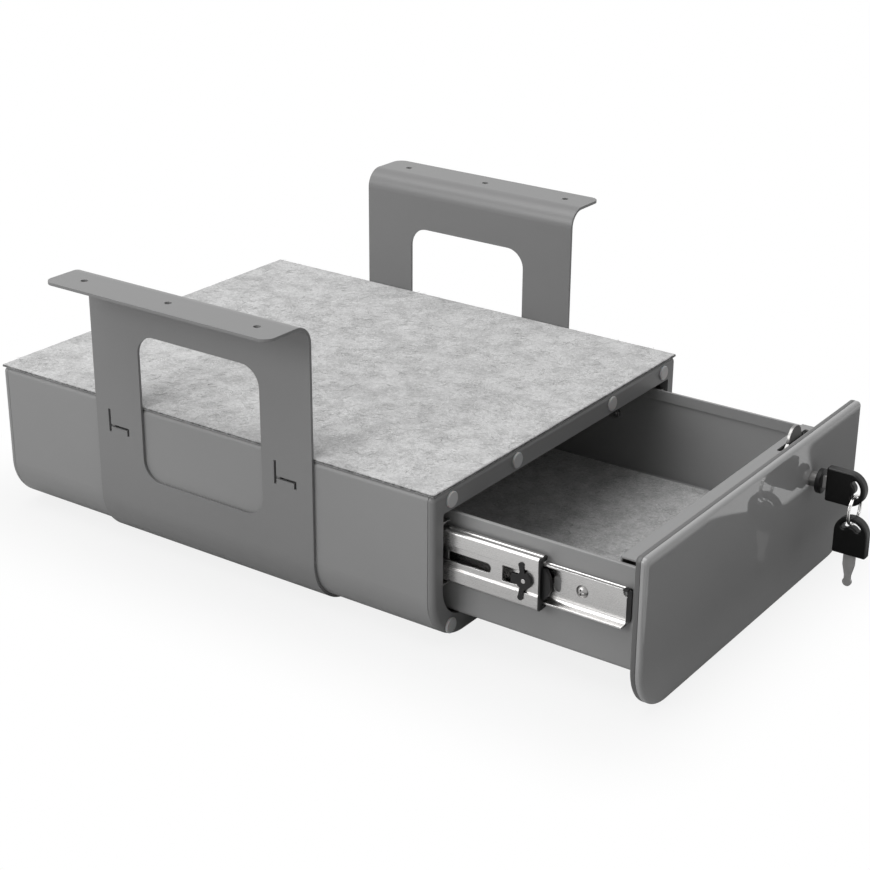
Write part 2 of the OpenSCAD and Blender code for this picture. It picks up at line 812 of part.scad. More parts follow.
// Release lever: a round hub on the pin, two arms and a toe that lies in the recess
module release_lever() color(black_plastic) placed() slide_place()
translate([0, middle_front + latch_y, 0]) difference() {
    union() {
        translate([lever_arm_u0, 0, 0]) rotate([0, 90, 0])
            cylinder(r = lever_hub_r, h = lever_body_u1 - lever_arm_u0);
        lever_arm(-lever_low_l, lever_lean);
        lever_arm(lever_high_l, -lever_lean);
        translate([lever_arm_u0, 0, -lever_toe_h / 2])
            cube([lever_body_u1 - lever_arm_u0, lever_toe, lever_toe_h]);
    }
    rotate([0, 90, 0]) cylinder(r = lever_pin_r + lever_pin_gap, h = slide_t);
}

module release_lever_right() release_lever();
module release_lever_left() left_side() release_lever();

// Channel of the drawer member, open towards the cabinet
module channel_2d() {
    half_h = inner_h / 2;
    bend_r = inner_bend_r;
    translate([slide_t - slide_sheet, -half_h + bend_r]) square([slide_sheet, inner_h - 2 * bend_r]);
    for (side = [0, 1]) mirror([0, side]) {
        translate([inner_u, half_h - slide_sheet]) square([slide_t - bend_r - inner_u, slide_sheet]);
        translate([slide_t - bend_r, half_h - bend_r]) bend_2d(bend_r);
    }
}

// Section of the drawer member, with the grooves of its ball races
module slide_inner_2d() {
    difference() {
        channel_2d();
        races_2d(inner_ball_u, inner_ball_v, inner_ball_r);
    }
}

// Cuts the lower front corner of the drawer member round, from the end at y
module round_end_cut(y) {
    difference() {
        translate([inner_u - over, y - over, -inner_h / 2 - over])
            cube([slide_t, end_corner_r + over, end_corner_r + over]);
        translate([inner_u - 2 * over, y + end_corner_r, -inner_h / 2 + end_corner_r])
            rotate([0, 90, 0]) cylinder(r = end_corner_r, h = slide_t + 2 * over);
    }
}

// Places of the drawer screws along the drawer member
drawer_screw_ys = [for (share = drawer_screw_shares) inner_front + share * inner_l];

module slide_inner() color(zinc) placed() slide_place() difference() {
    along(inner_front, inner_front + inner_l) slide_inner_2d();
    for (y = drawer_screw_ys)
        translate([slide_t - slide_sheet - over, y - drawer_slot_l / 2 + drawer_screw_d / 2 + hole_clear, 0])
            rotate([90, 0, 90]) linear_extrude(slide_sheet + 2 * over)
                round_2d(drawer_slot_l, drawer_screw_d + 2 * hole_clear, drawer_screw_d / 2);
    translate([slide_t - slide_sheet - over, inner_front + stop_slot_y, 0]) rotate([90, 0, 90])
        linear_extrude(slide_sheet + 2 * over)
            round_2d(stop_slot_w, stop_slot_h, stop_slot_w / 2 - hole_clear);
    // Notch near the upper front corner
    translate([slide_t - slide_sheet - over, inner_front, inner_h / 2 - end_notch_drop]) rotate([0, 90, 0])
        cylinder(r = end_notch_r, h = slide_sheet + 2 * over);
}

module slide_inner_right() slide_inner();
module slide_inner_left() left_side() slide_inner();

// Plastic end strips of the drawer members, with a round lower corner
module slide_inner_ends() color(black_plastic) placed() for (side = [0, 1]) mirror([side, 0, 0])
slide_place() difference() {
    along(inner_front - end_strip_l, inner_front - seat_gap) channel_2d();
    round_end_cut(inner_front - end_strip_l);
}

// Pan-head screw with a cross recess, from the channel into the drawer wall
module drawer_screw() {
    translate([slide_t - slide_sheet, 0, 0]) rotate([0, 90, 0]) {
        difference() {
            translate([0, 0, -drawer_head_h]) intersection() {
                cylinder(d = drawer_head_d, h = drawer_head_h);
                translate([0, 0, drawer_head_sphere_r]) sphere(drawer_head_sphere_r);
            }
            for (turn = [0, 90]) rotate([0, 0, turn])
                translate([-cross_l / 2, -cross_w / 2, -drawer_head_h - over])
                    cube([cross_l, cross_w, cross_deep + over]);
        }
        cylinder(d = drawer_screw_d, h = slide_sheet + shell_t + foot_nut_h + over);
    }
}

module slide_inner_screws() color("silver") placed() for (side = [0, 1]) mirror([side, 0, 0]) slide_place()
for (y = drawer_screw_ys) translate([0, y, 0]) drawer_screw();

module slide_inner_nuts() color(zinc) placed() for (side = [0, 1]) mirror([side, 0, 0]) slide_place()
for (y = drawer_screw_ys) translate([slide_t + shell_t, y, 0]) rotate([0, 90, 0])
    hex_nut(small_nut_af, drawer_screw_d + 2 * nut_clear, foot_nut_h);

// Folded section of the tray: floor, two walls and their inward hems
module tray_2d() {
    wall_h = drawer_z1 - drawer_z0;
    inner_w = drawer_w - 2 * shell_t;
    translate([0, drawer_z0]) {
        difference() {
            body_2d(drawer_w, wall_h, drawer_bend_r, shell_t / 2);
            translate([0, shell_t]) body_2d(inner_w, wall_h + over, drawer_bend_r - shell_t, shell_t / 2);
        }
        for (side = [0, 1]) mirror([side, 0]) translate([inner_w / 2 - shell_t, wall_h - hem_h])
            square([hem_t, hem_h]);
    }
}

module drawer_tray() color(grey_paint) placed() difference() {
    union() {
        along(tray_front_y, tray_back_y) tray_2d();
        translate([-drawer_w / 2 + shell_t / 2, tray_back_y - shell_t, drawer_z0 + shell_t / 2])
            cube([drawer_w - shell_t, shell_t, drawer_z1 - drawer_z0 - shell_t]);
    }
    for (side = [-1, 1], y = drawer_screw_ys)
        translate([side * drawer_w / 2, y, slide_z]) rotate([0, 90, 0])
            cylinder(d = drawer_screw_d + 2 * hole_clear, h = 4 * shell_t, center = true);
}

module drawer_liner() color(felt_grey) placed() {
    liner_w = drawer_w - 2 * drawer_bend_r - 2 * liner_gap;
    translate([-liner_w / 2, box_back_y + liner_gap, drawer_z0 + shell_t])
        cube([liner_w, tray_back_y - shell_t - box_back_y - 2 * liner_gap, liner_t]);
}

// Box that closes the front of the tray round the lock, with a slot for the hook on top
module lock_box() color(grey_paint) placed() {
    box_w = drawer_w - 2 * shell_t - 2 * box_gap_x;
    floor_z = drawer_z0 + shell_t + seat_gap;
    front_y = panel_back_y + seat_gap;
    difference() {
        translate([-box_w / 2, front_y, floor_z]) cube([box_w, box_back_y - front_y, box_top - floor_z]);
        translate([-box_w / 2 - over, front_y + shell_t, floor_z - over])
            cube([box_w + 2 * over, box_back_y - front_y - 2 * shell_t, box_top - floor_z - shell_t + over]);
        translate([lock_x + hook_slot_x, hook_front_y + hook_t / 2, box_top - shell_t - over])
            linear_extrude(shell_t + 2 * over)
                round_2d(hook_slot_l, hook_slot_w, hook_slot_w / 2 - hole_clear);
        lock_hole(front_y, barrel_d + 2 * barrel_hole_gap);
        for (x = panel_screw_xs, z = panel_screw_zs) translate([x, front_y - over, z]) rotate([-90, 0, 0])
            cylinder(d = drawer_screw_d + 2 * hole_clear, h = shell_t + 2 * over);
    }
}

// Places of the screws that hold the front panel
panel_screw_x = 100;
panel_screw_xs = [-panel_screw_x, panel_screw_x];
panel_screw_zs = [drawer_z0 + panel_screw_in, box_top - panel_screw_in];

// Lock hole of diameter d through a sheet whose front is at y
module lock_hole(y, d) {
    translate([lock_x, y - over, lock_z]) rotate([-90, 0, 0]) cylinder(d = d, h = shell_t + 2 * over);
}

// Inner pan of the front panel
module panel_back() color(grey_paint) placed() {
    depth = panel_t - panel_split - panel_seam;
    difference() {
        union() {
            translate([0, panel_back_y, -panel_drop]) mirror([0, 1, 0])
                folded_rim(panel_w, panel_h, corner_r, panel_top_r) fold_2d(2 * shell_t, shell_t, depth);
            translate([0, 0, -panel_drop + 2 * shell_t]) along(panel_back_y - shell_t, panel_back_y)
                body_2d(panel_w - 4 * shell_t, panel_h - 4 * shell_t, corner_r - 2 * shell_t,
                    panel_top_r - 2 * shell_t);
        }
        lock_hole(panel_back_y - shell_t, barrel_d + 2 * barrel_hole_gap);
        for (x = panel_screw_xs, z = panel_screw_zs) translate([x, panel_back_y - shell_t - over, z])
            rotate([-90, 0, 0]) cylinder(d = drawer_screw_d + 2 * hole_clear, h = shell_t + 2 * over);
    }
}

// Outer pan of the front panel, with a rounded rim and a bare face
module front_panel() color(grey_paint) placed() difference() {
    union() {
        translate([0, panel_front_y, -panel_drop])
            folded_rim(panel_w, panel_h, corner_r, panel_top_r) fold_2d(panel_edge_r, shell_t, panel_split);
        translate([0, 0, -panel_drop + panel_edge_r]) along(panel_front_y, panel_front_y + shell_t)
            body_2d(panel_w - 2 * panel_edge_r, panel_h - 2 * panel_edge_r, corner_r - panel_edge_r,
                panel_top_r - panel_edge_r);
    }
    lock_hole(panel_front_y, plug_d + 2 * plug_hole_gap);
}

// Screws from the lock box into the front panel, with their nuts inside the panel
module panel_screws() color(zinc) placed()
for (x = panel_screw_xs, z = panel_screw_zs)
translate([x, panel_back_y + seat_gap + shell_t, z]) rotate([90, 0, 0]) {
    translate([0, 0, -drawer_head_h]) cylinder(d = drawer_head_d, h = drawer_head_h);
    cylinder(d = drawer_screw_d, h = 2 * shell_t + seat_gap + foot_nut_h);
    translate([0, 0, 2 * shell_t + seat_gap]) cylinder(d = foot_head_d, h = foot_nut_h, $fn = 6);
}

// Places a lock part: its z runs from the panel's front face into the drawer
module lock_place() {
    translate([lock_x, panel_front_y, lock_z]) rotate([-90, 0, 0]) children();
}

// Barrel behind the panel's face, with a flange against the inner pan
module lock_barrel() color("silver") placed() lock_place() difference() {
    union() {
        translate([0, 0, shell_t + seat_gap]) cylinder(d = barrel_d, h = barrel_l - shell_t - seat_gap);
        translate([0, 0, panel_t - shell_t - seat_gap - lock_flange_t])
            cylinder(d = barrel_d + 2 * lock_flange_w, h = lock_flange_t);
    }
    translate([0, 0, -over]) cylinder(d = plug_d + 2 * plug_gap, h = barrel_l + 2 * over);
}

module lock_nut() color("silver") placed() lock_place()
translate([0, 0, panel_t + shell_t + 2 * seat_gap])
    hex_nut(barrel_d + 2 * lock_nut_wall, barrel_d + 2 * barrel_hole_gap, nut_h);

// Keyway from z0 inwards, as deep as a key's blade needs
module keyway(z0, depth) {
    translate([-keyway_w / 2, -keyway_h / 2, z0 - over]) cube([keyway_w, keyway_h, depth + over]);
}

module lock_plug() color("silver") placed() lock_place() {
    tail_z = hook_front_y - panel_front_y;
    difference() {
        translate([0, 0, -nose_l]) cylinder(d = plug_d, h = tail_z + nose_l - seat_gap);
        keyway(-nose_l, blade_l - key_stand - dial_t + keyway_clear);
    }
    translate([0, 0, tail_z - 2 * seat_gap]) cylinder(d = plug_tail_d, h = hook_t + 2 * seat_gap);
}

// Black dial on the front of the plug
module lock_dial() color(black_plastic) placed() lock_place() difference() {
    translate([0, 0, -nose_l - seat_gap - dial_t]) cylinder(d = barrel_d + 2 * dial_over, h = dial_t);
    keyway(-nose_l - seat_gap - dial_t, dial_t + 2 * over);
}

// Hook that the key turns up through the slot, behind the top rail when the drawer is shut
module lock_hook() color(zinc) placed() translate([lock_x, 0, lock_z]) difference() {
    reach = sqrt(hook_tip_x * hook_tip_x + hook_tip_z * hook_tip_z);
    along(hook_front_y, hook_front_y + hook_t) {
        circle(hook_hub_r);
        translate([hook_tip_x, hook_tip_z]) circle(hook_tip_r);
        rotate(-atan2(hook_tip_x, hook_tip_z)) translate([-hook_arm_w / 2, 0]) square([hook_arm_w, reach]);
    }
    translate([0, hook_front_y - over, 0]) rotate([-90, 0, 0])
        cylinder(d = plug_tail_d + 2 * nut_clear, h = hook_t + 2 * over);
}

module hook_screw() color("silver") placed() lock_place()
translate([0, 0, hook_front_y - panel_front_y + hook_t + seat_gap / 2]) difference() {
    cylinder(d = hook_head_d, h = hook_head_h);
    for (turn = [0, 90]) rotate([0, 0, turn])
        translate([-cross_l / 2, -cross_w / 2, hook_head_h - cross_deep])
            cube([cross_l, cross_w, cross_deep + over]);
}

// Kidney-shaped hole of a key head, round the middle of its round end, which points along -x
module head_loop_2d() {
    difference() {
        circle(loop_r1);
        circle(loop_r0);
        for (side = [0, 1]) mirror([0, side]) rotate(180 - loop_angle)
            translate([-2 * head_r, -4 * head_r]) square([4 * head_r, 4 * head_r]);
    }
    for (side = [-1, 1]) rotate(180 + side * loop_angle)
        translate([loop_mid_r, 0]) circle((loop_r1 - loop_r0) / 2 - hole_clear);
}

// Plastic head of a key, with the middle of its round end at zero
module key_head_shape() {
    difference() {
        translate([-head_t / 2, 0, 0]) rotate([90, 0, 90]) linear_extrude(head_t) difference() {
            union() {
                circle(head_r);
                translate([0, -head_r]) square([head_straight, 2 * head_r]);
            }
            head_loop_2d();
        }
        translate([-blade_t / 2 - nut_clear, head_straight / 2, -blade_h / 2 - nut_clear])
            cube([blade_t + 2 * nut_clear, head_straight, blade_h + 2 * nut_clear]);
    }
}

// Flat blade of a key, from inside its head to its round tip
module key_blade_shape() {
    root = head_straight / 2 + nut_clear;
    end = head_straight + blade_l;
    taper = blade_l / 3;
    tip_y = end - blade_tip_r;
    translate([-blade_t / 2, 0, 0]) rotate([90, 0, 90]) linear_extrude(blade_t) {
        polygon([[root, -blade_h / 2], [end - 2 * taper, -blade_h / 2], [end - taper, -blade_end_h / 2],
            [tip_y, -blade_end_h / 2], [tip_y, blade_end_h / 2], [end - taper, blade_end_h / 2],
            [end - 2 * taper, blade_h / 2], [root, blade_h / 2]]);
        translate([tip_y, 0]) circle(blade_tip_r);
    }
}

module key_head() color(black_plastic) placed() translate([lock_x, key_eye_y, lock_z]) key_head_shape();
module key_blade() color("silver") placed() translate([lock_x, key_eye_y, lock_z]) key_blade_shape();

// The spare key hangs with its blade down
module hang_spare() {
    translate([lock_x, ring_y, spare_eye_z]) rotate([-90, 0, 0]) children();
}
module spare_key_head() color(black_plastic) placed() hang_spare() key_head_shape();
module spare_key_blade() color("silver") placed() hang_spare() key_blade_shape();

// Split ring of two touching turns, through the holes of both key heads
module key_ring() color("silver") placed() translate([lock_x, ring_y, ring_z]) rotate([90, 0, 0])
rotate_extrude($fn = 96) for (turn = [-1, 1])
    translate([ring_d / 2, turn * wire_pitch / 2]) circle(wire_r, $fn = 24);

housing_shell();
top_plate();
front_frame();
back_cover();
top_felt_mat();
frame_bumpers();
bracket_left();
bracket_right();
bracket_screws();
bracket_nuts();
slide_rail_left();
slide_rail_right();
slide_outer_left();
slide_outer_right();
slide_outer_screws();
slide_stop_left();
slide_stop_right();
outer_retainer_left();
outer_retainer_right();
outer_balls_left();
outer_balls_right();
slide_middle_left();
slide_middle_right();
middle_guide_left();
middle_guide_right();
release_lever_left();
release_lever_right();
inner_retainer_left();
inner_retainer_right();
inner_balls_left();
inner_balls_right();
slide_inner_left();
slide_inner_right();
slide_inner_ends();
slide_inner_screws();
slide_inner_nuts();
drawer_tray();
drawer_liner();
lock_box();
panel_back();
front_panel();
panel_screws();
lock_barrel();
lock_nut();
lock_plug();
lock_dial();
lock_hook();
hook_screw();
key_blade();
key_head();
key_ring();
spare_key_blade();
spare_key_head();
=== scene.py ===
"""Looks of a lockable steel drawer that hangs under a desk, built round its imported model.

Lengths are metres, in the model's own frame: the origin is the middle of the desk screws, X runs to the
right as seen from the front, Y from the front panel to the back and Z up. Sizes given in millimetres are
multiplied by MM.
"""

import json
import logging
import math
from dataclasses import dataclass
from enum import Enum
from typing import Any

import bmesh
import bpy
from mathutils import Matrix, Vector, noise

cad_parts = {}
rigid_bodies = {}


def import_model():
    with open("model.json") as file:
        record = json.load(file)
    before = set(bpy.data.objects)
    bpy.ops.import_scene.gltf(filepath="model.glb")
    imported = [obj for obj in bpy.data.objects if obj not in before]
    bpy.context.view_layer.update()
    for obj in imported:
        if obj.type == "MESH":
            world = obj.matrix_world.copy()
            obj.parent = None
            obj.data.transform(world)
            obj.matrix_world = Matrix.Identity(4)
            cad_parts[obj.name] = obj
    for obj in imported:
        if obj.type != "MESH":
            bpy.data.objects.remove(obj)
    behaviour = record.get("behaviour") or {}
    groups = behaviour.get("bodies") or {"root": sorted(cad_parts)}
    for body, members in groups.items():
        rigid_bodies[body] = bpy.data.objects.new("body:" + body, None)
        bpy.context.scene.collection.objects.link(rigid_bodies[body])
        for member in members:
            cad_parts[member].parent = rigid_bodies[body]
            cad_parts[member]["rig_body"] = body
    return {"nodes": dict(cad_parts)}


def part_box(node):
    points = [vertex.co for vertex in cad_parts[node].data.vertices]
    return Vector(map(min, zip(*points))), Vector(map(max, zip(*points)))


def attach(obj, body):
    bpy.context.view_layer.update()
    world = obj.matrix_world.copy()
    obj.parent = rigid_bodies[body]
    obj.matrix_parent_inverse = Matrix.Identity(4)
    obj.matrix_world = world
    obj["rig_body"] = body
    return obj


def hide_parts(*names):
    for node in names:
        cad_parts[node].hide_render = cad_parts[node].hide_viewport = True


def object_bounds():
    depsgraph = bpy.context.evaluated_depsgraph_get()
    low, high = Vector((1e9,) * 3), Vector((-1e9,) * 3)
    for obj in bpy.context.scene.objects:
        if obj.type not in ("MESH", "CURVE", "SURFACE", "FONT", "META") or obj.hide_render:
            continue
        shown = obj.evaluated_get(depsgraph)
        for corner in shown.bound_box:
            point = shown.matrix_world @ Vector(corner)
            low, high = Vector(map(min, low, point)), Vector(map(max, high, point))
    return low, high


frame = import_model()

CAD_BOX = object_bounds()
MM = 0.001
LOG = logging.getLogger("drawer_safe")

Colour = tuple[float, float, float, float]
Point = tuple[float, float, float]
Pair = tuple[float, float]
Names = tuple[str, ...]
Settings = dict[str, Any] | None
Values = dict[str | int, Any] | None
Grid = list[list[bmesh.types.BMVert]]

WHITE: Colour = (1.0, 1.0, 1.0, 1.0)


def grey(share: float) -> Colour:
    """Grey of a share of white, on the linear scale."""
    return (share, share, share, 1.0)


def tone(level: float, warmth: float = 0.0) -> Colour:
    """Linear colour of a grey.

    Args:
        level: The grey on the usual 0 to 255 scale.
        warmth: How far red rises above, and blue falls below, the grey, on the same scale.

    Returns:
        The colour with an alpha of 1.
    """
    def linear(value: float) -> float:
        """One channel, taken from the usual display curve to the linear scale."""
        share = value / 255
        return share / 12.92 if share <= 0.04045 else ((share + 0.055) / 1.055) ** 2.4

    return (linear(level + warmth), linear(level), linear(level - warmth), 1.0)


class Wire:
    """What an output of a node gives. Arithmetic on a number adds Math nodes."""

    def __init__(self, tree: "NodeTree", socket: bpy.types.NodeSocket) -> None:
        """Keeps the tree and the socket."""
        self.tree = tree
        self.socket = socket

    def maths(self, operation: str, *values: "Wire | float") -> "Wire":
        """Result of a Math node on these values."""
        return self.tree.wire("ShaderNodeMath", {"operation": operation}, dict(enumerate(values)))

    def __add__(self, other: "Wire | float") -> "Wire":
        """Sum."""
        return self.maths("ADD", self, other)

    def __sub__(self, other: "Wire | float") -> "Wire":
        """Difference."""
        return self.maths("SUBTRACT", self, other)

    def __rsub__(self, other: float) -> "Wire":
        """Difference from a number."""
        return self.maths("SUBTRACT", other, self)

    def __mul__(self, other: "Wire | float") -> "Wire":
        """Product."""
        return self.maths("MULTIPLY", self, other)

    __radd__ = __add__
    __rmul__ = __mul__

    def size(self) -> "Wire":
        """Distance from zero."""
        return self.maths("ABSOLUTE", self)

    def root(self) -> "Wire":
        """Square root."""
        return self.maths("SQRT", self)

    def larger(self, other: "Wire | float") -> "Wire":
        """The larger of two numbers."""
        return self.maths("MAXIMUM", self, other)

    def steps(self, low: float, high: float) -> "Wire":
        """Smooth step from 0 at low to 1 at high, or the other way round if low is the larger."""
        return self.tree.wire(
            "ShaderNodeMapRange",
            {"interpolation_type": "SMOOTHSTEP"},
            {"Value": self, "From Min": low, "From Max": high, "To Min": 0.0, "To Max": 1.0},
        )


class NodeTree:
    """A tree of nodes, all of which are made by one method."""

    def __init__(self, tree: bpy.types.NodeTree) -> None:
        """Takes over a tree and empties it."""
        self.tree = tree
        tree.nodes.clear()

    def node(self, kind: str, settings: Settings = None, values: Values = None) -> bpy.types.Node:
        """Makes a node.

        Args:
            kind: The node's type.
            settings: Its settings, set first.
            values: Values or wires of its input sockets, by name or index.

        Returns:
            The node.
        """
        made = self.tree.nodes.new(kind)
        for key, value in (settings or {}).items():
            setattr(made, key, value)
        for key, value in (values or {}).items():
            if isinstance(value, Wire):
                self.tree.links.new(value.socket, made.inputs[key])
            else:
                made.inputs[key].default_value = value
        return made

    def wire(self, kind: str, settings: Settings = None, values: Values = None,
             output: str | int = 0) -> Wire:
        """Makes a node and gives one of its outputs."""
        return Wire(self, self.node(kind, settings, values).outputs[output])

    def wires(self, kind: str, *outputs: str | int, values: Values = None) -> list[Wire]:
        """Makes a node without settings and gives several of its outputs."""
        made = self.node(kind, values=values)
        return [Wire(self, made.outputs[output]) for output in outputs]

    def rays(self) -> list[Wire]:
        """Whether a ray comes from the camera, and whether from a glossy surface."""
        return self.wires("ShaderNodeLightPath", "Is Camera Ray", "Is Glossy Ray")


class Tree(NodeTree):
    """Shader tree of one material."""

    def __init__(self, name: str) -> None:
        """Starts an empty material.

        Args:
            name: Name of the material.
        """
        self.material = bpy.data.materials.new(name)
        self.material.use_nodes = True
        super().__init__(self.material.node_tree)

    def place(self, stretch: Point = (1.0, 1.0, 1.0), turn: float = 0.0) -> Wire:
        """Position on the piece in millimetres.

        Args:
            stretch: Stretch along each axis.
            turn: Turn about Z, in radians.

        Returns:
            The position.
        """
        coordinates = self.wire("ShaderNodeTexCoord", output="Object")
        scale = [part / MM for part in stretch]
        return self.wire("ShaderNodeMapping", values={
            "Vector": coordinates, "Scale": scale, "Rotation": (0.0, 0.0, turn)})

    def grain(self, place: Wire, per_mm: float, detail: float = 2.0, bend: float = 0.0,
              shift: float = 0.0) -> Wire:
        """Noise from 0 to 1.

        Args:
            place: Where it is read.
            per_mm: Features in a millimetre.
            detail: How many finer layers it has.
            bend: How far it is distorted.
            shift: Place along its fourth axis, different for each noise that has to differ.

        Returns:
            The noise.
        """
        return self.wire(
            "ShaderNodeTexNoise", {"noise_dimensions": "4D"},
            {"Vector": place, "W": shift, "Scale": per_mm, "Detail": detail, "Distortion": bend})

    def blend(self, low: Colour | Wire, high: Colour | Wire, share: Wire) -> Wire:
        """Colour between two others."""
        return self.wire("ShaderNodeMix", {"data_type": "RGBA"}, {0: share, 6: low, 7: high}, 2)

    def bump(self, height: Wire, depth: float, normal: Wire | None = None) -> Wire:
        """Normal of a relief.

        Args:
            height: The relief, from 0 to 1.
            depth: Its full height in metres.
            normal: Normal beneath it, if not the piece's own.

        Returns:
            The normal.
        """
        values: dict[str | int, Any] = {"Height": height, "Distance": depth, "Strength": 1.0}
        if normal is not None:
            values["Normal"] = normal
        return self.wire("ShaderNodeBump", values=values)

    def edges(self, radius: float, cosines: Pair = (0.995, 0.85)) -> tuple[Wire, Wire]:
        """Rounded normal of sharp edges, and how near a point is to such an edge.

        Args:
            radius: Radius of the rounding in metres.
            cosines: Of the angle between both normals, on flats and on edges.

        Returns:
            The normal, and a share from 0 on flats to 1 on edges.
        """
        rounded = self.wire("ShaderNodeBevel", {"samples": 4}, {"Radius": radius})
        flat = self.wire("ShaderNodeNewGeometry", output="Normal")
        along = self.wire(
            "ShaderNodeVectorMath", {"operation": "DOT_PRODUCT"}, {0: rounded, 1: flat}, "Value")
        return rounded, along.steps(*cosines)

    def surface(self, **values: Any) -> bpy.types.Material:
        """Closes the tree with a Principled surface and gives the material.

        Args:
            **values: Its sockets, with underscores for the spaces in their names.

        Returns:
            The finished material.
        """
        named = {key.replace("_", " "): value for key, value in values.items()}
        shader = self.wire("ShaderNodeBsdfPrincipled", values=named)
        self.node("ShaderNodeOutputMaterial", values={"Surface": shader})
        return self.material


@dataclass(frozen=True)
class Skin:
    """What every plain finish has.

    Attributes:
        name: Name of the material.
        level: Its grey, from 0 to 255.
        gloss: Its roughness.
        edge: Radius of the edges.
    """

    name: str
    level: float
    gloss: float
    edge: float = 0.25 * MM


@dataclass(frozen=True)
class PowderCoat(Skin):
    """Grey powder coat on sheet steel.

    Attributes:
        peel: Depth of its orange peel in metres.
        coat: Weight of a clear gloss on top.
        shine: Level of the coat's own reflections.
        sway: Depth of the slow waves in the pressed sheet, in metres.
        mottle: How far clouds and speckle change the grey, either way.
        edge_highlight_rise: How much lighter the painted highlight on an edge may get.
        wear_and_highlight: Share of that painted highlight which the edges reach.
    """

    edge: float = 0.5 * MM
    peel: float = 0.000012
    coat: float = 0.0
    shine: float = 0.45
    sway: float = 0.00004
    mottle: float = 5
    edge_highlight_rise: float = 40
    wear_and_highlight: float = 0.35

    def material(self) -> bpy.types.Material:
        """Makes a material with orange peel, faint clouds, speckle and a patchy painted highlight on its
        edges.

        Returns:
            The finished material.
        """
        tree = Tree(self.name)
        place = tree.place()
        clouds = tree.grain(place, per_mm=0.012, detail=3)
        speckle = tree.grain(place, per_mm=4.0, detail=1)
        peel = tree.grain(place, per_mm=0.9, detail=2)
        waves = tree.grain(place, per_mm=0.011, detail=0.5, shift=3.0)
        patches = tree.grain(place, per_mm=0.15, detail=3).steps(0.35, 0.7)
        rounded, edge = tree.edges(self.edge)
        swayed = tree.bump(waves, self.sway, rounded)
        base = tree.blend(
            tone(self.level - self.mottle), tone(self.level + self.mottle), clouds * 0.6 + speckle * 0.4)
        # Painted highlight: the edges turn lighter, in patches.
        colour = tree.blend(base, tone(self.level + self.edge_highlight_rise), edge * patches * self.wear_and_highlight)
        roughness = self.gloss - 0.06 + clouds * 0.08 + speckle * 0.05
        return tree.surface(
            Base_Color=colour, Roughness=roughness, Normal=tree.bump(peel, self.peel, swayed),
            Coat_Weight=self.coat, Coat_Roughness=0.03, Specular_IOR_Level=self.shine)


@dataclass(frozen=True)
class Plated(Skin):
    """What every plated finish has.

    Attributes:
        dull: How much darker the dull spots are.
        edge_highlight_grey: Grey of the painted highlight on the edges.
    """

    dull: float = 22
    edge_highlight_grey: float = 240

    def plate(self, tree: Tree, share: Wire, edge: Wire) -> Wire:
        """Colour of the plate, dull where share is 0, with the painted highlight where edge is 1."""
        spots = tree.blend(tone(self.level - self.dull, 1), tone(self.level, 1), share)
        # Painted highlight: the edges turn to the highlight grey.
        return tree.blend(spots, tone(self.edge_highlight_grey), edge)


@dataclass(frozen=True)
class BrightZinc(Plated):
    """Zinc-plated steel strip, rolled along Y.

    Attributes:
        rolled: Stretch of the rolling marks along each axis.
        marks: Depth of the rolling marks in metres.
    """

    edge: float = 0.35 * MM
    dull: float = 26
    edge_highlight_grey: float = 238
    rolled: Point = (1.0, 0.02, 1.0)
    marks: float = 0.000008

    def material(self) -> bpy.types.Material:
        """Makes a material with rolling marks, passivation clouds and a painted highlight on its edges.

        Returns:
            The finished material.
        """
        tree = Tree(self.name)
        marks = tree.grain(tree.place(self.rolled), per_mm=5.0, detail=3)
        clouds = tree.grain(tree.place(), per_mm=0.06, detail=4)
        rounded, edge = tree.edges(self.edge)
        # Painted highlight on the edges, at part strength.
        colour = self.plate(tree, clouds * 0.5 + marks * 0.5, edge * 0.6)
        roughness = self.gloss - 0.07 + marks * 0.12 + clouds * 0.06
        return tree.surface(
            Base_Color=colour, Roughness=roughness, Metallic=1.0,
            Normal=tree.bump(marks, self.marks, rounded))


@dataclass(frozen=True)
class Polished(Plated):
    """Plated metal turned or stamped small: lock parts, balls, keys and ring.

    Attributes:
        wear_and_highlight: Depth of the handling scratches in metres.
        metal: Share of metal, less under a dull plate.
    """

    edge: float = 0.2 * MM
    wear_and_highlight: float = 0.000004
    metal: float = 1.0

    def material(self) -> bpy.types.Material:
        """Makes a material with fine scratches, slightly dulled patches and a painted highlight on its
        edges.

        Returns:
            The finished material.
        """
        tree = Tree(self.name)
        along = tree.place(stretch=(1.0, 0.15, 1.0), turn=0.6)
        scratches = tree.grain(along, per_mm=6.0, detail=3, bend=0.4)
        patches = tree.grain(tree.place(), per_mm=0.25, detail=3)
        rounded, edge = tree.edges(self.edge)
        # Painted highlight on the edges.
        colour = self.plate(tree, patches, edge * 0.7)
        roughness = self.gloss - 0.05 + patches * 0.1 + scratches * 0.06
        return tree.surface(
            Base_Color=colour, Roughness=roughness, Metallic=self.metal,
            Normal=tree.bump(scratches, self.wear_and_highlight, rounded))


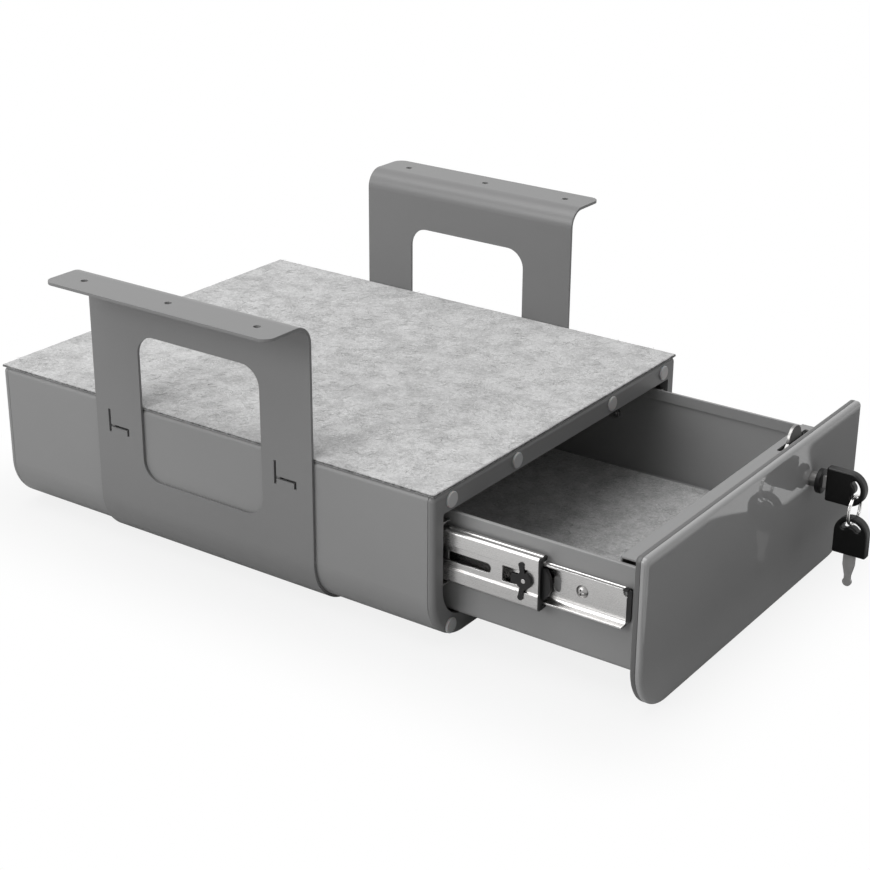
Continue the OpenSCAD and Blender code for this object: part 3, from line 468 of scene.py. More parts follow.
@dataclass(frozen=True)
class Moulded(Skin):
    """Moulded plastic.

    Attributes:
        spark: Depth of the spark-eroded texture in metres.
        milk: Share of light that scatters inside, for a soft milky part.
        shine: Level of its reflections.
        depth: How far light scatters inside.
    """

    spark: float = 0.00001
    milk: float = 0.0
    shine: float = 0.5
    depth: float = 1.5 * MM

    def material(self) -> bpy.types.Material:
        """Makes a material with spark texture, slightly polished high spots and a faint painted highlight
        on its edges.

        Returns:
            The finished material.
        """
        tree = Tree(self.name)
        place = tree.place()
        spark = tree.grain(place, per_mm=3.0, detail=3)
        clouds = tree.grain(place, per_mm=0.12, detail=2)
        rounded, edge = tree.edges(self.edge)
        # Painted highlight: the edges are a little lighter.
        colour = tree.blend(tone(self.level - 3), tone(self.level + 6), clouds * 0.5 + edge * 0.5)
        roughness = self.gloss + 0.06 - clouds * 0.1 + spark * 0.04
        return tree.surface(
            Base_Color=colour, Roughness=roughness, Normal=tree.bump(spark, self.spark, rounded),
            Subsurface_Weight=self.milk, Subsurface_Scale=self.depth, Specular_IOR_Level=self.shine)


@dataclass(frozen=True)
class Strands:
    """Curly strands, which lie along the contours of a noise and break off now and then.

    Attributes:
        per_mm: Features of the noise in a millimetre.
        width: Half width of a strand, as a difference of the noise.
        kept: Level of a second noise above which strands show.
        shift: Place in the noise, different for each layer.
    """

    per_mm: float
    width: float
    kept: float
    shift: float

    def mask(self, tree: Tree) -> Wire:
        """Mask of the strands.

        Args:
            tree: The tree to add to.

        Returns:
            The mask, from 0 to 1.
        """
        place = tree.place()
        first = tree.grain(place, self.per_mm, detail=1.5, bend=0.6, shift=self.shift)
        second = tree.grain(place, self.per_mm * 1.3, detail=2, shift=self.shift + 7)
        contour = (first - 0.5).size().steps(self.width, self.width * 0.2)
        return contour * second.steps(self.kept, self.kept + 0.1)


@dataclass(frozen=True)
class MeltonFelt:
    """Needled felt of light and dark fibres.

    Attributes:
        name: Name of the material.
        light: Grey of the light fibres.
        dark: Grey of the dark fibres.
        fuzz: Depth of the nap in metres.
        long_dark: Long dark strands.
        short_dark: Shorter ones.
        fine_dark: The finest ones.
        pale: Pale strands on top.
        edge: How far the darker band along the edge reaches in: partly the cut edge's dark fibres, partly
            painted shade.
    """

    name: str
    light: float
    dark: float
    fuzz: float = 0.00035
    long_dark: Strands = Strands(0.15, 0.020, 0.47, 1.0)
    short_dark: Strands = Strands(0.36, 0.035, 0.46, 4.0)
    fine_dark: Strands = Strands(0.62, 0.060, 0.44, 6.0)
    pale: Strands = Strands(0.30, 0.035, 0.46, 9.0)
    edge: float = 1.6 * MM

    def ground(self, tree: Tree, tufts: Wire, nap: Wire) -> Wire:
        """Mottled grey of the light fibres.

        Args:
            tree: The tree to add to.
            tufts: Noise of the tufts.
            nap: Noise of the nap.

        Returns:
            The colour.
        """
        mottle = tree.grain(tree.place(), per_mm=0.07, detail=5, bend=0.4)
        share = mottle.steps(0.30, 0.66) * 0.42 + tufts.steps(0.28, 0.70) * 0.36 + nap * 0.22
        return tree.blend(tone(self.light - 46), tone(self.light + 12), share)

    def material(self) -> bpy.types.Material:
        """Makes a material with mottled ground, dark and light strands, a nap, and painted shade on its
        sides and along its edge.

        Returns:
            The finished material.
        """
        tree = Tree(self.name)
        place = tree.place()
        tufts = tree.grain(place, per_mm=0.32, detail=3, bend=0.8)
        nap = tree.grain(place, per_mm=1.6, detail=4, bend=0.5)
        crowd = tree.grain(place, per_mm=0.045, detail=3, shift=20.0).steps(0.38, 0.66)
        long_dark, short_dark, fine_dark, pale = (
            strands.mask(tree) for strands in (self.long_dark, self.short_dark, self.fine_dark, self.pale))
        darkest = (long_dark * 0.45).larger(short_dark * 0.42).larger(fine_dark * 0.34)
        dusky = tree.blend(self.ground(tree, tufts, nap), tone(self.dark), darkest * (crowd * 0.7 + 0.45))
        topped = tree.blend(dusky, tone(self.light + 26), pale * 0.4)
        # Painted shade: faces that turn sideways, and a ragged band along the upper edge, are darkened; the
        # band stands partly for the cut edge's dark fibres.
        normal = tree.wire("ShaderNodeNewGeometry", output="Normal")
        upward = tree.wire("ShaderNodeSeparateXYZ", values={0: normal}, output=2)
        side = upward.size().steps(0.80, 0.25)
        ragged = (tree.edges(self.edge)[1] + tufts * 0.7).steps(0.45, 0.75)
        cut = tree.blend(tone(self.dark - 34), tone(self.light - 50), tufts.steps(0.35, 0.75) * 0.7)
        colour = tree.blend(topped, cut, (side * 0.9).larger(ragged * 0.8))
        relief = nap * 0.6 + tufts * 0.25 + pale * 0.25 - long_dark * 0.15
        return tree.surface(
            Base_Color=colour, Roughness=0.94 - pale * 0.06, Normal=tree.bump(relief, self.fuzz),
            Sheen_Weight=0.2, Sheen_Roughness=0.5, Specular_IOR_Level=0.12)


class Finish(Enum):
    """Every finish of the object."""

    HOUSING = PowderCoat("housing_paint", 129, 0.42)
    # Painted shade in part: a darker grey than the housing's, lowered also to stand for the shade beneath
    # the flange.
    BRACKET = PowderCoat("bracket_paint_partly_shaded", 116, 0.34)
    # Painted shade: the frame takes the housing's grey powder coat, set darker for the shade on its front
    # face.
    FRAME = PowderCoat("frame_paint_shaded", 114, 0.44)
    RAIL = PowderCoat("rail_paint", 92, 0.5)
    DRAWER = PowderCoat("drawer_paint", 134, 0.38)
    PANEL_BACK = PowderCoat("panel_back_paint", 88, 0.4)
    PANEL = PowderCoat("panel_gloss_paint", 146, 0.45, peel=0.000002, coat=1.0, shine=0.1)
    ZINC = BrightZinc("bright_zinc", 208, 0.26)
    DARK_ZINC = BrightZinc("inner_zinc", 170, 0.34)
    SCREW = Polished("screw_nickel", 165, 0.26)
    BALL = Polished("ball_steel", 214, 0.1, wear_and_highlight=0.0)
    LOCK = Polished("lock_satin", 165, 0.32)
    HOOK = Polished("hook_steel", 150, 0.3)
    BLADE = Polished("key_blade_nickel", 196, 0.3, metal=0.2)
    RING = Polished("ring_nickel", 225, 0.16)
    BLACK = Moulded("black_acetal", 12, 0.42, shine=0.4)
    KEY_HEAD = Moulded("key_plastic", 11, 0.36, spark=0.000006, shine=0.36)
    BUMPER = Moulded("milky_bumper", 172, 0.3, spark=0.000003, milk=0.2)
    FELT = MeltonFelt("mat_felt", 202, 84)
    LINER = MeltonFelt("liner_felt", 188, 104)
    DARK_FIBRE = Moulded("dark_fibre", 138, 0.85, shine=0.1)
    LIGHT_FIBRE = Moulded("light_fibre", 222, 0.8, shine=0.1)


class Paintbox:
    """Makes each finish's material once."""

    def __init__(self) -> None:
        """Starts with no material made."""
        self.made: dict[Finish, bpy.types.Material] = {}

    def take(self, finish: Finish) -> bpy.types.Material:
        """Material of a finish.

        Args:
            finish: The finish.

        Returns:
            Its material, the same each time.
        """
        if finish not in self.made:
            self.made[finish] = finish.value.material()
        return self.made[finish]


PAINTS = Paintbox()


def both(*stems: str) -> Names:
    """Names of the left and right node of each stem."""
    return tuple(f"{stem}_{side}" for stem in stems for side in ("left", "right"))


def dress(finishes: dict[Finish, Names]) -> list[str]:
    """Gives CAD nodes that stay their procedural finishes.

    Args:
        finishes: The nodes of each finish.

    Returns:
        Names of all these nodes.
    """
    for finish, nodes in finishes.items():
        for node in nodes:
            for slot in frame["nodes"][node].material_slots:
                slot.material = PAINTS.take(finish)
    return [node for nodes in finishes.values() for node in nodes]


def set_out(name: str, data: bpy.types.ID) -> bpy.types.Object:
    """Adds an object to the scene.

    Args:
        name: Name of the object.
        data: Its mesh, curve, lamp or camera.

    Returns:
        The object.
    """
    made = bpy.data.objects.new(name, data)
    bpy.context.scene.collection.objects.link(made)
    return made


def add_rider(mesh: bpy.types.Mesh, name: str, node: str, finish: Finish) -> bpy.types.Object:
    """Adds a finished mesh that stands for no CAD node.

    Args:
        mesh: The mesh, in place in the model's frame.
        name: Name of the piece.
        node: CAD node whose body it takes.
        finish: Its finish.

    Returns:
        The piece.
    """
    mesh.materials.clear()
    mesh.materials.append(PAINTS.take(finish))
    piece = set_out(name, mesh)
    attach(piece, frame["nodes"][node]["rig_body"])
    return piece


def add_piece(mesh: bpy.types.Mesh, name: str, node: str, finish: Finish) -> bpy.types.Object:
    """Adds a finished mesh that stands for a CAD node.

    Args:
        mesh: The mesh, in place in the model's frame.
        name: Name of the piece.
        node: CAD node that it replaces.
        finish: Its finish.

    Returns:
        The piece.
    """
    piece = add_rider(mesh, name, node, finish)
    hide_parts(node)
    return piece


def taken_from(shape: bmesh.types.BMesh, name: str) -> bpy.types.Mesh:
    """Mesh of a shape, which is used up.

    Args:
        shape: The shape.
        name: Name of the mesh.

    Returns:
        The mesh.
    """
    mesh = bpy.data.meshes.new(name)
    shape.to_mesh(mesh)
    shape.free()
    return mesh


def evaluated(piece: bpy.types.Object, name: str) -> bpy.types.Mesh:
    """Plain mesh of an object with its modifiers.

    Args:
        piece: The object, which is used up.
        name: Name of the mesh.

    Returns:
        The mesh.
    """
    graph = bpy.context.evaluated_depsgraph_get()
    mesh = bpy.data.meshes.new_from_object(
        piece.evaluated_get(graph), preserve_all_data_layers=True, depsgraph=graph)
    mesh.name = name
    piece.modifiers.clear()
    bpy.data.objects.remove(piece)
    return mesh


def weighted(mesh: bpy.types.Mesh, name: str, angle: float = 35.0, weight: int = 80) -> bpy.types.Mesh:
    """Mesh whose shading keeps large faces flat beside rounded edges.

    Args:
        mesh: The mesh, which is used up.
        name: Name of the result.
        angle: Least angle of an edge that stays sharp, in degrees.
        weight: How much more a large face counts than a small one, in percent.

    Returns:
        The shaded mesh.
    """
    mesh.shade_smooth()
    mesh.set_sharp_from_angle(angle=math.radians(angle))
    blank = set_out(name + "_blank", mesh)
    even = blank.modifiers.new("even", "WEIGHTED_NORMAL")
    even.keep_sharp = True
    even.weight = weight
    return evaluated(blank, name)


class GeometryTree(NodeTree):
    """Tree that makes one mesh from another."""

    def __init__(self, name: str, inputs: dict[str, tuple[str, Any]]) -> None:
        """Starts a tree.

        Args:
            name: Its name.
            inputs: Type and value of each input, by its name.
        """
        super().__init__(bpy.data.node_groups.new(name, "GeometryNodeTree"))
        sockets = self.tree.interface
        for way in ("INPUT", "OUTPUT"):
            sockets.new_socket("Geometry", in_out=way, socket_type="NodeSocketGeometry")
        for key, (kind, _) in inputs.items():
            sockets.new_socket(key, in_out="INPUT", socket_type=kind)
        self.values = {key: value for key, (_, value) in inputs.items()}
        self.enter = self.node("NodeGroupInput")

    def given(self, name: str) -> Wire:
        """What an input of the tree brings."""
        return Wire(self, self.enter.outputs[name])

    def close(self, geometry: Wire, finish: Finish) -> None:
        """Ends the tree with realized instances of one finish.

        Args:
            geometry: The instances.
            finish: Their finish.
        """
        real = self.wire("GeometryNodeRealizeInstances", values={0: geometry})
        faced = self.wire("GeometryNodeSetMaterial", values={
            "Geometry": real, "Material": PAINTS.take(finish)})
        self.node("NodeGroupOutput", values={0: faced})

    def run(self, mesh: bpy.types.Mesh, name: str) -> bpy.types.Mesh:
        """Runs the tree on a mesh.

        Args:
            mesh: The mesh.
            name: Name of the result.

        Returns:
            The plain result.
        """
        carrier = set_out(name + "_carrier", mesh)
        modifier = carrier.modifiers.new("nodes", "NODES")
        modifier.node_group = self.tree
        for socket in self.tree.interface.items_tree:
            if socket.in_out == "INPUT" and socket.name in self.values:
                modifier[socket.identifier] = self.values[socket.name]
        return evaluated(carrier, name)


@dataclass
class Fibres:
    """Loose fibres that lie on top of a felt.

    Attributes:
        density: Fibres on a square metre.
        reach: Length of a middling fibre.
        radius: Radius of a fibre.
        seed: Start of the random draws.
        facing: Upward part of a face's normal above which fibres lie on it.
        joints: Straight stretches in a fibre.
        sides: Sides of a fibre.
        turns: Least and most turn about each axis.
        scales: Least and most scale along, across and above the fibre.
    """

    density: float
    reach: float
    radius: float
    seed: int
    facing: float = 0.7
    joints: int = 5
    sides: int = 3
    turns: tuple[Point, Point] = ((-0.04, -0.04, 0.0), (0.04, 0.04, 2 * math.pi))
    scales: tuple[Point, Point] = ((0.3, 0.08, 1.0), (1.25, 0.9, 1.0))

    def points(self, tree: GeometryTree) -> Wire:
        """Scatters points over the faces that point up.

        Args:
            tree: The tree to add to.

        Returns:
            The points.
        """
        normal = tree.wire("GeometryNodeInputNormal")
        upward = tree.wire("ShaderNodeSeparateXYZ", values={0: normal}, output=2)
        chosen = tree.wire(
            "FunctionNodeCompare", {"data_type": "FLOAT", "operation": "GREATER_THAN"},
            {0: upward, 1: self.facing})
        return tree.wire("GeometryNodeDistributePointsOnFaces", values={
            "Mesh": tree.given("Geometry"), "Selection": chosen,
            "Density": tree.given("Density"), "Seed": tree.given("Seed")})

    def thread(self, tree: GeometryTree) -> Wire:
        """Makes one fibre, bent sideways in the middle.

        Args:
            tree: The tree to add to.

        Returns:
            Its mesh.
        """
        half = tree.given("Reach") * 0.5
        start, end, crown = (
            tree.wire("ShaderNodeCombineXYZ", values=place)
            for place in ({0: half * -1.0}, {0: half}, {1: half}))
        arc = tree.wire("GeometryNodeCurveQuadraticBezier", values={
            "Resolution": self.joints, "Start": start, "Middle": crown, "End": end})
        profile = tree.wire("GeometryNodeCurvePrimitiveCircle", {"mode": "RADIUS"}, {
            "Resolution": self.sides, "Radius": tree.given("Radius")})
        return tree.wire("GeometryNodeCurveToMesh", values={
            "Curve": arc, "Profile Curve": profile, "Fill Caps": True})

    def build(self, felt: bpy.types.Object, node: str, name: str, finish: Finish) -> bpy.types.Object:
        """Makes the fibres as one piece that rides with its felt.

        Args:
            felt: The felt.
            node: CAD node of the felt.
            name: Name of the piece.
            finish: Finish of the fibres.

        Returns:
            The piece.
        """
        tree = GeometryTree("fibres", {
            "Density": ("NodeSocketFloat", self.density), "Reach": ("NodeSocketFloat", self.reach),
            "Radius": ("NodeSocketFloat", self.radius), "Seed": ("NodeSocketInt", self.seed)})
        turn, scale = (
            tree.wire("FunctionNodeRandomValue", {"data_type": "FLOAT_VECTOR"}, {
                0: least, 1: most, "Seed": tree.given("Seed")})
            for least, most in (self.turns, self.scales))
        spread = tree.wire("GeometryNodeInstanceOnPoints", values={
            "Points": self.points(tree), "Instance": self.thread(tree), "Rotation": turn, "Scale": scale})
        tree.close(spread, finish)
        return add_rider(tree.run(felt.data.copy(), name), name, node, finish)


@dataclass
class Felt:
    """A laid piece of felt with slightly ragged edges and loose fibres.

    Attributes:
        node: CAD node that it stands for.
        bed: Node that it rests on; not used.
        width: Cut width along X; not used.
        length: Cut length along Y; not used.
        finish: Finish of the felt.
        dark_fibres: Dark fibres on a square metre.
        light_fibres: Light fibres on a square metre.
        seed: Start of its random draws.
        cell: Spacing of the grid on its top.
        edge: Radius of its upper edge.
        bends: Angles of the grid lines on that edge, in degrees.
        ragged: How far its edge strays inwards from the cut.
        stray: Spacing of those strays.
        waves: Height of the unevenness of its top.
        broad: Spacing of the broad part of the unevenness.
        small: Spacing of the small part.
    """

    node: str
    bed: str
    width: float
    length: float
    finish: Finish
    dark_fibres: float
    light_fibres: float
    seed: int
    cell: float = 2.4 * MM
    edge: float = 0.7 * MM
    bends: tuple[int, ...] = (30, 60, 90)
    ragged: float = 0.35 * MM
    stray: float = 3.1 * MM
    waves: float = 0.16 * MM
    broad: float = 14 * MM
    small: float = 3.3 * MM

    def rows(self, half: float) -> list[float]:
        """Grid places along one side, closer together at the rounded edge.

        Args:
            half: Half the length of the side.

        Returns:
            The places, from the lowest.
        """
        inner = half - self.edge
        count = max(2, round(2 * inner / self.cell))
        middle = [-inner + 2 * inner * step / count for step in range(count + 1)]
        rim = [inner + self.edge * math.sin(math.radians(bend)) for bend in self.bends]
        return [-place for place in reversed(rim)] + middle + rim

    def inwards(self, x: float, y: float) -> Vector:
        """Stray of the cut edge at a place.

        Args:
            x: Distance from the middle along X.
            y: Distance from the middle along Y.

        Returns:
            The stray, always towards the middle.
        """
        spot = Vector((x, y, self.seed)) / self.stray
        elsewhere = spot + Vector((50.3, 20.7, 11.9))
        shift = Vector((noise.noise(spot), noise.noise(elsewhere), 0)) * self.ragged
        return Vector((-math.copysign(abs(shift.x), x), -math.copysign(abs(shift.y), y), 0))

    def drop(self, place: float, half: float) -> float:
        """Fall of the rounded edge at a distance from the middle."""
        over = max(0.0, abs(place) - (half - self.edge)) / self.edge
        return self.edge * (1 - math.sqrt(max(0.0, 1 - min(1.0, over) ** 2)))

    def rise(self, x: float, y: float) -> float:
        """Unevenness of the top at a place.

        Args:
            x: Distance from the middle along X.
            y: Distance from the middle along Y.

        Returns:
            The height, at most one wave up or down.
        """
        spot = Vector((x, y, self.seed * 3.0))
        lump = noise.noise(spot / self.broad) * 0.45 + noise.noise(spot / self.small) * 0.55
        return self.waves * max(-1.0, min(1.0, lump))

    def slab(self) -> bpy.types.Mesh:
        """Closed mesh of the felt, in the place of its CAD node.

        Returns:
            The mesh.
        """
        low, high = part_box(self.node)
        centre = Vector(((low[0] + high[0]) / 2, (low[1] + high[1]) / 2, 0))
        top, bottom = high[2], low[2]
        xs, ys = self.rows((high[0] - low[0]) / 2), self.rows((high[1] - low[1]) / 2)
        half_x, half_y = xs[-1], ys[-1]
        cloth = bmesh.new()
        upper: Grid = []
        lower: Grid = []
        for x in xs:
            upper.append([])
            lower.append([])
            for y in ys:
                rim = abs(x) > half_x - self.edge or abs(y) > half_y - self.edge
                place = centre + Vector((x, y, 0)) + (self.inwards(x, y) if rim else Vector())
                fall = max(self.drop(x, half_x), self.drop(y, half_y))
                height = max(top - self.waves - fall + self.rise(x, y), bottom + 0.4 * self.edge)
                upper[-1].append(cloth.verts.new((place.x, place.y, height)))
                lower[-1].append(cloth.verts.new((place.x, place.y, bottom)))
        self.skin(cloth, upper, lower)
        mesh = taken_from(cloth, self.node)
        mesh.shade_smooth()
        return mesh

    @staticmethod
    def skin(cloth: bmesh.types.BMesh, upper: Grid, lower: Grid) -> None:
        """Closes two grids of corners with faces that point outwards.

        Args:
            cloth: Shape that has the corners.
            upper: Corners of the top, row by row.
            lower: Corners of the underside, in the same order.
        """
        face = cloth.faces.new
        across, along = len(upper) - 1, len(upper[0]) - 1
        for i in range(across):
            for j in range(along):
                face((upper[i][j], upper[i + 1][j], upper[i + 1][j + 1], upper[i][j + 1]))
                face((lower[i][j], lower[i][j + 1], lower[i + 1][j + 1], lower[i + 1][j]))
        for i in range(across):
            face((lower[i][0], lower[i + 1][0], upper[i + 1][0], upper[i][0]))
            face((upper[i][along], upper[i + 1][along], lower[i + 1][along], lower[i][along]))
        for j in range(along):
            face((upper[0][j], upper[0][j + 1], lower[0][j + 1], lower[0][j]))
            face((lower[across][j], lower[across][j + 1], upper[across][j + 1], upper[across][j]))

    def build(self) -> list[str]:
        """Returns:
            Names of the pieces.
        """
        felt = add_piece(self.slab(), self.node + "_cloth", self.node, self.finish)
        dark = Fibres(self.dark_fibres, 7.0 * MM, 0.09 * MM, self.seed + 1)
        light = Fibres(self.light_fibres, 5.0 * MM, 0.08 * MM, self.seed + 2)
        fibres = [dark.build(felt, self.node, self.node + "_dark_fibres", Finish.DARK_FIBRE),
                  light.build(felt, self.node, self.node + "_light_fibres", Finish.LIGHT_FIBRE)]
        return [piece.name for piece in (felt, *fibres)]


@dataclass
class SplitRing:
    """The double wire ring that holds both keys, wound round an axis along Y.

    Attributes:
        node: CAD node that it stands for.
        wire: Radius of the wire.
        pitch: Distance between the two turns.
        turns: Turns of the wire.
        start: Angle of the wire's first end, in degrees.
        crossing: How sharply the wire crosses from one turn to the other.
        steps: Steps along the wire.
        sides: Sides of the wire.
        crease: Least angle of an edge that stays sharp, in degrees.
    """

    node: str = "key_ring"
    wire: float = 0.62 * MM
    pitch: float = 1.2 * MM
    turns: float = 1.97
    start: float = -60
    crossing: float = 50
    steps: int = 144
    sides: int = 12
    crease: float = 50

    def build(self) -> list[str]:
        """Winds the wire and cuts its two ends flat.

        Returns:
            Name of the piece.
        """
        low, high = (Vector(corner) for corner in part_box(self.node))
        centre = (low + high) / 2
        radius = (high.x - low.x) / 2 - self.wire
        ring = bmesh.new()
        loops = []
        for step in range(self.steps + 1):
            share = step / self.steps
            angle = math.radians(self.start) + 2 * math.pi * self.turns * share
            across = (1 / (1 + math.exp(-(share - 0.5) * self.crossing)) - 0.5) * self.pitch
            out = Vector((math.cos(angle), 0, math.sin(angle)))
            middle = centre + out * radius + Vector((0, across, 0))
            turns = (2 * math.pi * side / self.sides for side in range(self.sides))
            loops.append([
                ring.verts.new(middle + (out * math.cos(turn) + Vector((0, math.sin(turn), 0))) * self.wire)
                for turn in turns])
        for one, other in zip(loops, loops[1:]):
            for side in range(self.sides):
                after = (side + 1) % self.sides
                ring.faces.new((one[side], one[after], other[after], other[side]))
        ring.faces.new(list(reversed(loops[0])))
        ring.faces.new(loops[-1])
        bmesh.ops.recalc_face_normals(ring, faces=ring.faces)
        mesh = taken_from(ring, self.node)
        mesh.shade_smooth()
        mesh.set_sharp_from_angle(angle=math.radians(self.crease))
        return [add_piece(mesh, "split_ring", self.node, Finish.RING).name]


@dataclass
class KeyHead:
    """Moulded key head with rounded edges and a kidney-shaped hole.

    Attributes:
        straight: Length of the straight part.
        radius: Radius of the round end.
        thickness: Thickness of the head.
        edge: Radius of its edges.
        edge_steps: Steps across an edge, beyond one.
        hole_inner: Inner radius of the hole.
        hole_outer: Outer radius of the hole.
        hole_angle: Half angle of the hole, in degrees.
        corner: Radius of the two square corners.
        join: Distance at which corners of the mesh are made one.
    """

    straight: float = 16.4 * MM
    radius: float = 12.4 * MM
    thickness: float = 7 * MM
    edge: float = 1.3 * MM
    edge_steps: int = 3
    hole_inner: float = 4.8 * MM
    hole_outer: float = 8.8 * MM
    hole_angle: float = 50.0
    corner: float = 1.4 * MM
    join: float = 0.002 * MM

    @staticmethod
    def at(centre: Pair, radius: float, angle: float) -> Pair:
        """Point on a circle at an angle in degrees."""
        turn = math.radians(angle)
        return (centre[0] + radius * math.cos(turn), centre[1] + radius * math.sin(turn))

    def arc(self, centre: Pair, radius: float, start: float, end: float, steps: int) -> list[Pair]:
        """Points on an arc between two angles in degrees."""
        return [self.at(centre, radius, start + (end - start) * step / steps) for step in range(steps + 1)]

    def outline(self) -> list[Pair]:
        """Outer outline, with the round end along minus x.

        Returns:
            Its points, in order.
        """
        far, side = self.straight - self.corner, self.radius - self.corner
        return (self.arc((0, 0), self.radius, 90, 270, steps=48)
                + self.arc((far, -side), self.corner, 270, 360, steps=6)
                + self.arc((far, side), self.corner, 0, 90, steps=6))

    def hole(self) -> list[Pair]:
        """Outline of the kidney.

        Returns:
            Its points, in order.
        """
        middle = (self.hole_inner + self.hole_outer) / 2
        half = (self.hole_outer - self.hole_inner) / 2
        start, end = 180 - self.hole_angle, 180 + self.hole_angle
        tips = [self.at((0, 0), middle, angle) for angle in (end, start)]
        return (self.arc((0, 0), self.hole_outer, start, end, steps=20)
                + self.arc(tips[0], half, end, end + 180, steps=8)[1:-1]
                + self.arc((0, 0), self.hole_inner, end, start, steps=16)
                + self.arc(tips[1], half, start + 180, start + 360, steps=8)[1:-1])

    def mesh(self, name: str) -> bpy.types.Mesh:
        """Makes the rounded solid, flat in x and y, with its middle at zero.

        Args:
            name: Name of the mesh.

        Returns:
            The mesh.
        """
        curve = bpy.data.curves.new(name, "CURVE")
        curve.dimensions = "2D"
        curve.fill_mode = "BOTH"
        curve.extrude = self.thickness / 2 - self.edge
        curve.bevel_depth = self.edge
        curve.bevel_resolution = self.edge_steps
        curve.offset = -self.edge
        for points in (self.outline(), self.hole()):
            spline = curve.splines.new("POLY")
            spline.points.add(len(points) - 1)
            for point, (x, y) in zip(spline.points, points):
                point.co = (x, y, 0, 1)
            spline.use_cyclic_u = True
        mesh = evaluated(set_out(name + "_outline", curve), name)
        head = bmesh.new()
        head.from_mesh(mesh)
        bmesh.ops.remove_doubles(head, verts=head.verts, dist=self.join)
        bmesh.ops.recalc_face_normals(head, faces=head.faces)
        head.to_mesh(mesh)
        head.free()
        return mesh

    def build(self, node: str, hanging: bool) -> list[str]:
        """Makes the head in the place of its CAD node.

        Args:
            node: The node.
            hanging: Whether its blade points down instead of into the lock.

        Returns:
            The piece's name.
        """
        name = node + "_moulded"
        mesh = self.mesh(name)
        low, high = (Vector(corner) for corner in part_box(node))
        centre = (low + high) / 2
        if hanging:
            turn = Matrix(((0, 0, 1), (0, 1, 0), (-1, 0, 0)))
            eye = Vector((centre.x, centre.y, high.z - self.radius))
        else:
            turn = Matrix(((0, 0, 1), (1, 0, 0), (0, 1, 0)))
            eye = Vector((centre.x, low.y + self.radius, centre.z))
        mesh.transform(Matrix.Translation(eye) @ turn.to_4x4())
        return [add_piece(weighted(mesh, name), name, node, Finish.KEY_HEAD).name]


@dataclass
class Housing:
    """Steel case with its frame, back cover, rails, bumpers and mat.

    Attributes:
        mat_width: Cut width of the mat.
        mat_length: Cut length of the mat.
    """

    mat_width: float = 313 * MM
    mat_length: float = 386 * MM

    def build(self) -> list[str]:
        """Dresses the steel and lays the mat.

        Returns:
            Names of the pieces.
        """
        mat = Felt("top_felt_mat", "top_plate", self.mat_width, self.mat_length, Finish.FELT,
                   dark_fibres=15000, light_fibres=15000, seed=11)
        return dress({
            Finish.HOUSING: ("housing_shell", "top_plate", "back_cover"),
            Finish.FRAME: ("front_frame",),
            Finish.BUMPER: ("frame_bumpers",),
            Finish.RAIL: both("slide_rail"),
        }) + mat.build()


@dataclass
class Brackets:
    """The two hanging brackets.

    Attributes:
        fixings: Nodes of their screws and nuts.
    """

    fixings: Names = ("bracket_screws", "bracket_nuts")

    def build(self) -> list[str]:
        """Dresses both brackets and gives the names of the pieces."""
        return dress({Finish.BRACKET: both("bracket"), Finish.SCREW: self.fixings})


@dataclass
class Slides:
    """The two ball-bearing slides.

    Attributes:
        fixings: Nodes of their screws and nuts.
    """

    fixings: Names = ("slide_outer_screws", "slide_inner_screws", "slide_inner_nuts")

    def build(self) -> list[str]:
        """Dresses every member, retainer, ball and black part.

        Returns:
            Names of the pieces.
        """
        return dress({
            Finish.DARK_ZINC: both("slide_outer", "outer_retainer", "inner_retainer"),
            Finish.ZINC: both("slide_middle", "slide_inner"),
            Finish.BALL: both("outer_balls", "inner_balls"),
            Finish.BLACK: both("slide_stop", "middle_guide", "release_lever") + ("slide_inner_ends",),
            Finish.SCREW: self.fixings,
        })


@dataclass
class Drawer:
    """Tray, lock box, front panel and liner.

    Attributes:
        liner_edge: Radius of the liner's upper edge.
        liner_ragged: How far the liner's edge strays inwards.
    """

    liner_edge: float = 0.5 * MM
    liner_ragged: float = 0.2 * MM

    def build(self) -> list[str]:
        """Dresses the steel and lays the liner.

        Returns:
            Names of the pieces.
        """
        low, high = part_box("drawer_liner")
        liner = Felt("drawer_liner", "drawer_tray", high[0] - low[0], high[1] - low[1], Finish.LINER,
                     dark_fibres=16000, light_fibres=12000, seed=23,
                     edge=self.liner_edge, ragged=self.liner_ragged)
        return dress({
            Finish.DRAWER: ("drawer_tray", "lock_box"),
            Finish.PANEL_BACK: ("panel_back",),
            Finish.PANEL: ("front_panel",),
            Finish.SCREW: ("panel_screws",),
        }) + liner.build()


@dataclass
class LockAndKeys:
    """Cam lock, its hook, both keys and their ring.

    Attributes:
        cylinder: Nodes of the metal cylinder.
        blades: Nodes of the key blades.
    """

    cylinder: Names = ("lock_barrel", "lock_nut", "lock_plug")
    blades: Names = ("key_blade", "spare_key_blade")

    def build(self) -> list[str]:
        """Dresses the lock, and shapes the keys and the ring.

        Returns:
            Names of the pieces.
        """
        return dress({
            Finish.LOCK: self.cylinder,
            Finish.BLACK: ("lock_dial",),
            Finish.HOOK: ("lock_hook",),
            Finish.SCREW: ("hook_screw",),
            Finish.BLADE: self.blades,
        }) + (KeyHead().build("key_head", hanging=False)
              + KeyHead().build("spare_key_head", hanging=True)
              + SplitRing().build())


